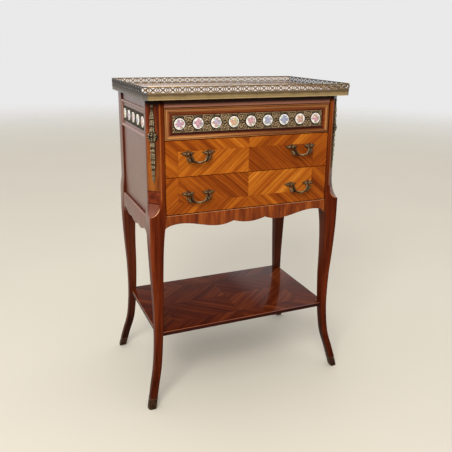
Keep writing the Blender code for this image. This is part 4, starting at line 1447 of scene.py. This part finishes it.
@dataclass
class Handle:
    """A drop handle: two leaf roses and a swag bail between them."""

    drawer: str
    side: str
    across: float
    level: float
    span: float = 0.049
    face: float = -0.1445
    standoff: float = 0.0085
    drop: float = 0.0195
    lean: float = 0.004
    bar: float = 0.0024
    lug: float = 0.0062
    pin: float = 0.0011
    rose_reach: float = 0.0155
    rose_width: float = 0.0056
    shoulder: tuple[tuple[float, float], ...] = ((0.0300, -0.0058), (0.0150, -0.0196))
    shoulder_width: float = 0.0044
    shoulder_back: float = 0.0020
    boss_profile: Array = field(default_factory=lambda: np.array([
        (0.0010, 0.0046), (0.0030, 0.0044), (0.0048, 0.0030), (0.0058, 0.0027), (0.0070, 0.0033),
        (0.0082, 0.0037), (0.0096, 0.0035), (0.0108, 0.0027), (0.0114, 0.0014), (0.0116, 0.0003)]))

    @staticmethod
    def leaf(
        shape: Shape, lift: Lift, start: tuple[float, float], end: tuple[float, float], width: float
    ) -> None:
        """Adds a pointed, lobed leaf with a rib and veins between two points of a face.

        Half its width falls from the middle by a power of the distance, times a cosine for the lobes, and
        the thickness goes round half a turn by a power of the sine.

        Args:
            shape: Shape that takes the leaf.
            lift: Map from the face's own axes.
            start: First tip.
            end: Last tip.
            width: Half the width in the middle.
        """
        along = np.linspace(-1.0, 1.0, 81)[:, None]
        turn = np.linspace(0.0, math.pi, 19)[None]
        size = np.abs(along)
        lobes = 1 + 0.34 * np.cos(size * 6.5 * math.pi) * smooth(1 - size, 0.0, 0.2)
        half = width * np.maximum(1 - size**1.3, 0.0) ** 0.85 * lobes + 0.00025
        veins = wave(size * 11 * math.pi - 5.0 * np.abs(np.cos(turn)))
        rib = bell(np.cos(turn), 0.0, 0.16)
        thick = (0.0018 + 0.0024 * (1 - size) ** 0.8) * (0.45 + 0.35 * veins + 0.35 * rib)
        middle, reach = (np.array(end) + start) / 2, (np.array(end) - start) / 2
        aside = half * np.cos(turn) + 0.0022 * size**3 - 0.0010
        across, up = reach / np.linalg.norm(reach)
        x = middle[0] + along * reach[0] - aside * up
        y = middle[1] + along * reach[1] + aside * across
        points = lift(x, y, 0.0003 + thick * np.sin(turn) ** 0.8)
        shape.grid(points, around=True, ends=True, relief=np.clip(0.75 * veins + 0.5 * rib - 0.05, 0, 1))

    def rose(self, sign: float, finishes: Finishes, name: str) -> bpy.types.Object:
        """A rose at one end: a lobed leaf and a turned, fluted boss over the pivot.

        Args:
            sign: Which end of the handle.
            finishes: Materials.
            name: Name of the piece.

        Returns:
            The finished object.
        """
        lift = Facing.FRONT.lift((self.across + sign * self.span / 2, self.face, self.level))
        shape = Shape()
        self.leaf(shape, lift, (-self.rose_reach, 0.0), (self.rose_reach, 0.0), self.rose_width)
        out, wide = self.boss_profile[:, :1], self.boss_profile[:, 1:]
        turn = turns(22)[None]
        fluted = wide * (1 + 0.07 * np.cos(8 * turn))
        boss = lift(fluted * np.cos(turn), fluted * np.sin(turn), out)
        shape.grid(boss, around=True, ends=True, relief=0.45 + 0.4 * np.cos(8 * turn))
        return shape.build(name, [finishes.handle], 50)

    def bail(self, finishes: Finishes, name: str) -> bpy.types.Object:
        """A swag along half a squared oval: a leaf on each shoulder, and a bead in the middle.

        The sway is the cosine of the angle and the hang its sine, both to a power under one. The radius grows
        by bell curves at the shoulders and at the beads.

        Args:
            finishes: Materials.
            name: Name of the piece.

        Returns:
            The finished object.
        """
        inside = self.span / 2 - self.lug / 2 - 0.0003
        angle = np.linspace(0.0, math.pi, 97)
        sway = np.sign(np.cos(angle)) * np.abs(np.cos(angle)) ** 0.82
        hang = np.sin(angle) ** 0.78
        pivot = np.array([self.across, self.face - self.standoff, self.level])
        arc = np.stack([-(inside - self.bar) * sway, -self.lean * hang, -self.drop * hang], axis=1)
        pins = np.array([[inside + 0.0032, 0, 0], [inside + 0.0002, 0, 0]])
        path = np.concatenate([-pins, arc, pins[::-1]]) + pivot
        share = np.abs(np.linspace(-1.0, 1.0, len(angle)))
        swell = bell(share, 0.70, 0.17)
        bead = bell(share, 0.0, 0.055) + 0.6 * bell(share, 0.15, 0.03)
        radius = 0.0020 + 0.0007 * (1 - share) + 0.0011 * swell + 0.0004 * bead
        radius *= (1 + 0.16 * swell * np.cos(share * 46)) * (smooth(1 - share, -0.05, 0.06) * 0.4 + 0.6)
        radii = np.pad(radius, 2, constant_values=self.pin)
        turn = turns(14)[None]
        ribbed = 1 + 0.10 * np.cos(4 * turn + 0.6) * np.pad(swell, 2)[:, None]
        points = tube(path, radii[:, None] * ribbed, 14)
        wear_and_sheen = np.pad(0.5 * bead + 0.3 * (1 - share) + 0.25 * np.cos(share * 46) * swell, 2)
        # The cosine of the turn paints the bar lighter on the swag's upper, inner side and darker on its
        # underside: painted light and shade.
        high = 0.12 + 0.12 * np.cos(4 * turn) + 0.58 * np.cos(turn) + 0.8 * wear_and_sheen[:, None]
        shape = Shape().grid(points, around=True, ends=True, relief=np.clip(high, 0, 1))
        flat = Facing.FRONT.lift(pivot + (0.0, self.shoulder_back, 0.0))

        def leaning(across: Array, up: Array, out: Array) -> Array:
            """Puts a leaf in the bail's own plane, which leans forward as it hangs."""
            return flat(across, up, out - up * self.lean / self.drop)

        for _, sign in SIDES:
            start, end = ((sign * x, y) for x, y in self.shoulder)
            self.leaf(shape, leaning, start, end, self.shoulder_width)
        return shape.build(name, [finishes.handle], 50)

    def dress(self, finishes: Finishes) -> None:
        """Builds the handle on its drawer."""
        stem = f"{self.drawer}_{self.side}"
        for end, sign in SIDES:
            node = f"{stem}_rose_{end}"
            place(self.rose(sign, finishes, f"{node}_leaf"), self.drawer, "patinated_bronze", node)
        place(self.bail(finishes, f"{stem}_bail_swag"), f"{stem}_bail", "patinated_bronze", f"{stem}_bail")


@dataclass
class Drawers:
    """The frieze drawer with its moulded frame and plaques, and two veneered drawers with handles."""

    ease: float = 0.0007
    frame_width: float = 0.0136
    bead_points: int = 13
    handle_at: float = 0.1285
    handle_levels: tuple[tuple[str, float], ...] = (("middle_drawer", 0.6057), ("bottom_drawer", 0.5153))

    def frame_profile(self, depth: float, width: float) -> Array:
        """Section of the frieze moulding: a small bead, a rounded bead, a fillet and a hollow to the ground.

        A bead goes across by the cosine of half a turn and out by a power of its sine.

        Args:
            depth: Thickness of the frame.
            width: Width of the frame.

        Returns:
            Pairs of distance inwards and level.
        """
        turn = np.linspace(math.pi, 0.0, self.bead_points)
        beads = [np.stack([at + half * np.cos(turn), 0.40 + high * np.sin(turn) ** 0.8], axis=1)
                 for at, half, high in ((0.10, 0.10, 0.42), (0.42, 0.20, 0.60))]
        inner = [(0.65, 0.50), (0.71, 0.50), (0.80, 0.36), (0.92, 0.22), (1.0, 0.18), (1.0, 0.0), (0.0, 0.0)]
        return np.concatenate([*beads, inner]) * (width, depth)

    def dress(self, finishes: Finishes) -> None:
        """Builds the three drawers' show pieces; the boxes behind them stay as packed.

        Args:
            finishes: Materials.
        """
        for name, level in self.handle_levels:
            self.board(f"{name}_front", name, finishes.drawer, "drawer_tulipwood")
            for side, sign in SIDES:
                Handle(name, side, sign * self.handle_at, level).dress(finishes)
        # The frieze drawer's front takes the dark ground tone: painted shade inside the moulding.
        self.board("frieze_drawer_front", "frieze_drawer", finishes.ground, "leg_mahogany")
        low, high = corners_of("frieze_drawer_frame")
        lift = Facing.FRONT.lift((0, high[1], 0))
        outline = rectangle((low[0], low[2]), (high[0], high[2]))
        profile = self.frame_profile(high[1] - low[1], self.frame_width)
        # Beads take the moulding woods; the fillet and hollow take darker finishes that paint their shade,
        # darkest along the bottom.
        row = np.arange(len(profile))[:, None] - 2 * self.bead_points
        slots = np.where(row < 1, np.array([0, 1, 0, 1]), np.where(row < 2, 2, np.array([3, 2, 2, 2])))
        frame = Shape().grid(moulding(outline, profile, lift), around=True, along=True, slot=slots)
        woods = [finishes.frame_long, finishes.frame_short, finishes.frame_hollow_shade, finishes.frame_foot_shade]
        piece = frame.build("frieze_drawer_moulding", woods, 40)
        place(piece, "frieze_drawer", "frieze_moulding", "frieze_drawer_frame")
        PlaqueStrip(Facing.FRONT, "frieze_drawer_plaque_strip", "frieze_drawer", FRONT_POSIES).dress(finishes)

    def board(self, node: str, body: str, finish: Material, slot: str) -> None:
        """A board with eased edges in the place of a packed one.

        Args:
            node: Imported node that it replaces.
            body: Body that carries it.
            finish: Material of the board.
            slot: Material slot of the record.
        """
        low, high = corners_of(node)
        outline = rectangle((low[0], low[2]), (high[0], high[2]))
        points = slab(outline, -high[1], -low[1], self.ease, Facing.FRONT.lift())
        piece = Shape().grid(points, around=True, ends=True).build(f"{node}_veneered", [finish], 15)
        place(piece, body, slot, node)


@dataclass
class Carcass:
    """Sides, aprons, rail, shelf and the corner drops."""

    leg_height: float = 0.4685
    apron_drops: tuple[float, ...] = (0.0352, 0.0282, 0.0356, 0.0218, 0.0345)
    apron_at: tuple[float, float, float] = (0.0405, 0.0760, 0.1700)
    side_top: float = 0.4625
    side_drops: tuple[float, ...] = (0.0465, 0.0400, 0.0435, 0.0345, 0.0500)
    side_at: tuple[float, float, float] = (0.0310, 0.0560, 0.0960)
    mount_length: float = 0.170
    mount_top: float = 0.7122
    chamfer: float = 0.024
    frame_width: float = 0.0065
    frame_end: float = 0.0040
    ledge: float = 0.0050
    edge: float = 0.0012
    rail_ease: float = 0.0008
    panel_ease: float = 0.0005
    leg_gap: float = 0.0003
    drop_stations: Array = field(default_factory=lambda: np.array([
        (0.000, 0.0024, 0.0022), (0.020, 0.0032, 0.0039), (0.045, 0.0020, 0.0022), (0.080, 0.0030, 0.0030),
        (0.150, 0.0054, 0.0044), (0.175, 0.0064, 0.0050), (0.186, 0.0042, 0.0025), (0.200, 0.0056, 0.0044),
        (0.260, 0.0064, 0.0050), (0.272, 0.0048, 0.0025), (0.290, 0.0058, 0.0047), (0.335, 0.0066, 0.0051),
        (0.352, 0.0080, 0.0039), (0.372, 0.0116, 0.0058), (0.400, 0.0122, 0.0066), (0.440, 0.0105, 0.0063),
        (0.465, 0.0070, 0.0036), (0.480, 0.0058, 0.0041), (0.530, 0.0066, 0.0051), (0.542, 0.0050, 0.0025),
        (0.590, 0.0064, 0.0048), (0.607, 0.0042, 0.0023), (0.620, 0.0058, 0.0044), (0.680, 0.0066, 0.0050),
        (0.692, 0.0048, 0.0025), (0.740, 0.0062, 0.0047), (0.752, 0.0046, 0.0023), (0.800, 0.0056, 0.0043),
        (0.812, 0.0038, 0.0022), (0.880, 0.0046, 0.0036), (0.900, 0.0030, 0.0019), (0.950, 0.0034, 0.0026),
        (1.000, 0.0006, 0.0008)]))

    @staticmethod
    def drop(across: Array, end: float, drops: tuple[float, ...],
             places: tuple[float, float, float]) -> Array:
        """Depth of an apron below its level.

        A middle lobe falls by a square law to a cusp, a side lobe rises from it, a cosine leads to the arch
        and a quarter round drops to the leg.

        Args:
            across: Distances from the middle.
            end: Distance to the leg.
            drops: Depths at the centre, cusp, lobe, arch and leg.
            places: Distances of the cusp, lobe and arch.

        Returns:
            The depth at each distance.
        """
        size = np.abs(across)
        centre, cusp, lobe, arch, foot = drops
        cusp_at, lobe_at, arch_at = places
        t1, t2 = size / cusp_at, (size - cusp_at) / (lobe_at - cusp_at)
        t3 = (size - lobe_at) / (arch_at - lobe_at)
        t4 = np.clip((size - arch_at) / (end - arch_at), 0.0, 1.0)
        return np.select(
            [size <= cusp_at, size <= lobe_at, size <= arch_at],
            [centre + (cusp - centre) * t1**2, lobe + (cusp - lobe) * (1 - t2) ** 2,
             lobe + (arch - lobe) * (1 - np.cos(math.pi * t3)) / 2],
            arch + (foot - arch) * (1 - np.sqrt(1 - t4**2)))

    @staticmethod
    def stations(low: float, high: float, places: tuple[float, float, float], count: int) -> Array:
        """Even stations along an apron, with the turning points of its outline among them."""
        return np.unique(np.concatenate([np.linspace(low, high, count), places, -np.array(places)]))

    def sawn(self, along: Array, top: float, drop: Array, low: float, high: float, lift: Lift) -> Array:
        """An apron: an eased section of a board carried along it, with its lower edge at a changing depth.

        A fifth corner on the top edge parts its outer strip from the rest.

        Args:
            along: Distances along the apron.
            top: Level of its top edge.
            drop: Depth at each distance.
            low: Distance out to its inner face.
            high: Distance out to its outer face.
            lift: Puts along, up and out into the world.

        Returns:
            Rows of points for a grid closed around and at its ends.
        """
        bottom, level = top - drop, np.full_like(drop, top)
        inside, strip, outside = (np.full_like(drop, face) for face in (low, high - self.ledge, high))
        pairs = ((inside, bottom), (outside, bottom), (outside, level), (strip, level), (inside, level))
        corners = np.stack([np.stack(pair, -1) for pair in pairs], axis=1)
        plan = rounded(corners, self.edge, 4)
        return lift(np.broadcast_to(along[:, None], plan.shape[:2]), plan[..., 1], plan[..., 0])

    def dress(self, finishes: Finishes) -> None:
        """Builds the carcass pieces that show.

        Args:
            finishes: Materials.
        """
        self.dress_aprons(finishes)
        low, high = corners_of("front_top_rail")
        outline = rectangle((low[0], low[2]), (high[0], high[2]))
        rail = slab(outline, -high[1], -low[1], self.rail_ease, Facing.FRONT.lift())
        piece = Shape().grid(rail, around=True, ends=True).build("top_rail_polished", [finishes.rail], 15)
        place(piece, CARCASS, "leg_mahogany", "front_top_rail")
        self.dress_shelf(finishes)
        for (side, sign), facing in zip(SIDES, (Facing.LEFT, Facing.RIGHT)):
            self.dress_side(side, facing, finishes)
            self.dress_mount(side, sign, finishes)

    def dress_aprons(self, finishes: Finishes) -> None:
        """Builds the front apron and both side aprons.

        Args:
            finishes: Materials.
        """
        low, high = corners_of("front_apron")
        across = self.stations(low[0], high[0], self.apron_at, 281)
        depth = self.drop(across, high[0], self.apron_drops, self.apron_at) - self.leg_height + high[2]
        points = self.sawn(across, high[2], depth, -high[1], -low[1], Facing.FRONT.lift())
        # Column 8, the top front arris, takes the painted highlight; the top behind it takes the dark joint
        # wood.
        shape = Shape().grid(points, around=True, ends=True, slot=np.repeat([0, 1, 2, 0], [8, 1, 7, 4]))
        front = shape.build("front_apron_sawn", [finishes.apron, finishes.arris, finishes.joint], 24)
        place(front, CARCASS, "drawer_tulipwood", "front_apron")
        for (side, _), facing in zip(SIDES, (Facing.LEFT, Facing.RIGHT)):
            low, high = corners_of(f"side_apron_{side}")
            along = self.stations(low[1], high[1], self.side_at, 181)
            thick = sorted((abs(low[0]), abs(high[0])))
            depth = self.drop(along, high[1], self.side_drops, self.side_at)
            points = self.sawn(along, self.side_top, depth, *thick, facing.lift())
            # The ledge columns take the lighter ledge tone: painted light where the apron meets the panel.
            shape = Shape().grid(points, around=True, ends=True, slot=np.repeat([0, 1, 2], [9, 3, 8]))
            woods = [finishes.side_apron, finishes.ledge, finishes.joint]
            piece = shape.build(f"side_apron_{side}_sawn", woods, 24)
            place(piece, CARCASS, "side_panel_veneer", f"side_apron_{side}")

    def dress_shelf(self, finishes: Finishes) -> None:
        """Builds the shelf with a notch at each leg and a rounded edge.

        Args:
            finishes: Materials.
        """
        low, high = corners_of("shelf")
        legs = Legs()
        levels = np.linspace(low[2], high[2], 5)
        near = legs.inner(levels).min() - self.leg_gap
        notch_x, notch_y = legs.half_x + near, legs.half_y + near
        quarter = np.array([(high[0], notch_y), (notch_x, notch_y), (notch_x, high[1])])
        half = np.concatenate([quarter, quarter[::-1] * (-1, 1)])
        outline = np.concatenate([half, -half])
        points = slab(outline, low[2], high[2], self.edge, Facing.UP.lift())
        # Lower rows take the dark edge wood; the upper arris rows take the painted highlight.
        rows = np.array([1, 1, 1, 1, 2, 2, 2])[:, None]
        shape = Shape().grid(points, around=True, slot=rows)
        shape.faces += [list(range(len(outline)))[::-1], list(range(7 * len(outline), 8 * len(outline)))]
        shape.slots += [1, 0]
        shelf = shape.build("shelf_polished", [finishes.shelf, finishes.shelf_edge, finishes.shelf_arris_highlight], 15)
        place(shelf, CARCASS, "shelf_veneer", "shelf")

    def dress_side(self, side: str, facing: Facing, finishes: Finishes) -> None:
        """Builds one side's panel, frieze frame and plaques.

        Args:
            side: Name of the side.
            facing: Which way it looks.
            finishes: Materials.
        """
        lift = facing.lift()
        low, high = corners_of(f"side_panel_{side}")
        near, far = sorted((abs(low[0]), abs(high[0])))
        outline = rectangle(low[1:], high[1:])
        panel = Shape().grid(slab(outline, near, far, self.panel_ease, lift), around=True, ends=True)
        piece = panel.build(f"side_panel_{side}_veneered", [finishes.side], 15)
        place(piece, CARCASS, "side_panel_veneer", f"side_panel_{side}")
        low, high = corners_of(f"side_frieze_frame_{side}")
        ground, face = sorted((abs(low[0]), abs(high[0])))
        border = np.array([self.frame_end, self.frame_width])
        outer, opening = rectangle(low[1:], high[1:]), rectangle(low[1:] + border, high[1:] - border)
        rows = np.concatenate([drawn_in(outer, [0.0, 0.0, 0.0006]),
                               drawn_in(opening, [-0.0034, -0.0018, -0.0004, 0.0, 0.0])])
        levels = ground + (face - ground) * np.array([0.0, 0.92, 1.0, 1.0, 0.86, 0.5, 0.4, 0.0])
        points = lift(rows[..., 0], rows[..., 1], levels[:, None])
        shape = Shape().grid(points, around=True, along=True)
        piece = shape.build(f"side_frieze_frame_{side}_moulded", [finishes.side_frame], 15)
        place(piece, CARCASS, "frieze_moulding", f"side_frieze_frame_{side}")
        PlaqueStrip(facing, f"side_plaque_strip_{side}", CARCASS, SIDE_POSIES).dress(finishes)

    def dress_mount(self, side: str, sign: float, finishes: Finishes) -> None:
        """Builds a corner drop on the chamfer: a bell, husks, a leaf cluster and a tapering tail.

        Half width and thickness run straight between the stations of the drop; three ribs run down its
        section as the cosine of one and a half turns across it.

        Args:
            side: Name of the side.
            sign: Minus one on the left and one on the right.
            finishes: Materials.
        """
        legs = Legs()
        share = np.unique(np.concatenate([np.linspace(0.0, 1.0, 300), self.drop_stations[:, 0]]))[:, None]
        turn = np.linspace(0.0, math.pi, 29)[None]
        at, widths, heights = self.drop_stations.T
        wide, tall = np.interp(share, at, widths), np.interp(share, at, heights)
        across = np.cos(turn)
        ribs = wave(3 * math.pi * across)
        cluster = bell(share, 0.405, 0.045)
        buds = np.cos(share * 190 + 2.0 * np.cos(across * 4)) * np.cos(across * 7.5)
        half = wide * (1 + 0.10 * cluster * np.cos(share * 190))
        veins = wave(share * 330 - 3.5 * np.abs(across))
        thick = tall * (0.62 + 0.30 * ribs + 0.14 * veins + 0.30 * cluster * buds)
        full = np.interp(share, (0.0, 0.15, 0.37, 0.45, 0.5, 0.8, 1.0),
                         (0.0036, 0.0050, 0.0066, 0.0062, 0.0050, 0.0043, 0.0012))
        hollow = smooth(tall / full, 0.45, 0.85)
        deep = self.chamfer / math.sqrt(2)
        tangent = np.array([sign * math.sqrt(0.5), math.sqrt(0.5), 0.0])
        outward = np.array([sign * math.sqrt(0.5), -math.sqrt(0.5), 0.0])
        base = np.array([sign * legs.half_x, -legs.half_y, self.mount_top]) - outward * (deep - 0.0003)
        points = (base + (half * across)[..., None] * tangent
                  + (thick * np.sin(turn) ** 0.7)[..., None] * outward
                  - (share + 0 * turn)[..., None] * self.mount_length * np.array([0.0, 0.0, 1.0]))
        wear_and_sheen = (0.05 + 0.55 * ribs + 0.5 * veins) * (0.2 + 0.8 * hollow)
        relief = np.clip(wear_and_sheen + cluster * (0.55 * buds - 0.34), 0, 1)
        drop = Shape().grid(points, around=True, ends=True, relief=relief)
        piece = drop.build(f"corner_mount_{side}_chased", [finishes.bronze], 50)
        place(piece, CARCASS, "patinated_bronze", f"corner_mount_{side}")


@dataclass
class Studio:
    """Pale floor, soft light and the camera at the photograph's angle."""

    azimuth: float = -0.4087
    elevation: float = 0.2825
    roll: float = 0.0141
    lens: float = 44.33
    distance: float = 1.4426
    target: tuple[float, float, float] = (0.0142, -0.0062, 0.4343)
    shift: tuple[float, float] = (-0.0133, -0.0465)
    dim: Colour = (0.22, 0.22, 0.22)
    bright: Colour = (1.25, 1.25, 1.25)
    wall: Colour = (0.82, 0.82, 0.82)

    def camera(self) -> None:
        """Sets the camera from its angles round the target."""
        az, el, roll = self.azimuth, self.elevation, self.roll
        back = Vector((math.sin(az) * math.cos(el), -math.cos(az) * math.cos(el), math.sin(el)))
        right = Vector((math.cos(az), math.sin(az), 0.0))
        up = back.cross(right)
        across = right * math.cos(roll) + up * math.sin(roll)
        upright = up * math.cos(roll) - right * math.sin(roll)
        data = bpy.data.cameras.new("camera")
        data.sensor_width = 36.0
        data.lens = self.lens
        data.shift_x, data.shift_y = self.shift
        data.clip_start, data.clip_end = 0.01, 100.0
        eye = bpy.data.objects.new("camera", data)
        eye.matrix_world = Matrix((across, upright, back)).transposed().to_4x4()
        eye.location = Vector(self.target) + back * self.distance
        bpy.context.scene.collection.objects.link(eye)
        bpy.context.scene.camera = eye

    def light(self, name: str, place_at: Sequence[float], aim: Sequence[float], size: float, power: float,
              colour: Colour = (1.0, 1.0, 1.0)) -> None:
        """Adds a square soft light.

        Args:
            name: Name of the light.
            place_at: Where it hangs.
            aim: Point that it faces.
            size: Side of the square.
            power: Watts.
            colour: Tint.
        """
        data = bpy.data.lights.new(name, "AREA")
        data.shape = "SQUARE"
        data.size = size
        data.energy = power
        data.color = colour
        lamp = bpy.data.objects.new(name, data)
        lamp.location = place_at
        lamp.rotation_mode = "QUATERNION"
        lamp.rotation_quaternion = (Vector(aim) - Vector(place_at)).to_track_quat("-Z", "Y")
        bpy.context.scene.collection.objects.link(lamp)

    def dress(self) -> None:
        """Builds the floor, the lights and the camera."""
        reach = np.linspace(-9.0, 9.0, 5)
        across, deep = np.meshgrid(reach, reach)
        floor = Shape().grid(np.stack([across, deep, np.full_like(across, -0.0004)], axis=-1))
        plane = floor.build("floor", [PaleFloor().make()])
        sky = Graph(bpy.data.worlds.new("studio"), "Background")
        where = sky.out("ShaderNodeTexCoord", None, None, "Generated")
        split = sky.node("ShaderNodeSeparateXYZ", None, {0: where})
        behind, above = Value(sky, split.outputs[1]), Value(sky, split.outputs[2])
        upward = sky.mix(above.between(0.10, 0.30), self.wall, self.bright)
        share = (behind + above * 0.8).between(-0.5, 0.5)
        bpy.context.scene.world = sky.dress(color=sky.mix(share, self.dim, upward), strength=1.0)
        bpy.context.scene.view_settings.view_transform = "Standard"
        self.light("key", (-1.4, -2.0, 2.3), (0.0, 0.0, 0.5), 1.4, 88.0, (1.0, 0.97, 0.93))
        self.light("fill", (2.0, -2.0, 1.4), (0.0, 0.0, 0.5), 2.0, 4.0)
        self.camera()


KEPT = {
    "bare": ["dust_board_lower", "dust_board_middle", "dust_board_upper"]
    + [f"{drawer}_drawer_{part}" for drawer in ("frieze", "middle", "bottom")
       for part in ("side_left", "side_right", "back", "bottom")],
    "bare_back": ["back_panel"],
}


def dress_kept(nodes: dict[str, bpy.types.Object], finishes: Finishes) -> None:
    """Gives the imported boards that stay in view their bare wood.

    Args:
        nodes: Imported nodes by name.
        finishes: Materials.
    """
    for finish, names in KEPT.items():
        for name in names:
            for holder in nodes[name].material_slots:
                holder.material = getattr(finishes, finish)
            LOG.info("%s keeps its packed shape", name)


def main() -> None:
    """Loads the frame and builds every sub-assembly."""
    logging.basicConfig(level=logging.INFO, format="%(name)s: %(message)s")
    for old in list(bpy.data.objects):
        bpy.data.objects.remove(old, do_unlink=True)
    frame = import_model()
    finishes = Finishes()
    Legs().dress(finishes)
    Carcass().dress(finishes)
    Drawers().dress(finishes)
    Top().dress(finishes)
    dress_kept(frame["nodes"], finishes)
    Studio().dress()
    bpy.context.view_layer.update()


if __name__ == "__main__":
    main()
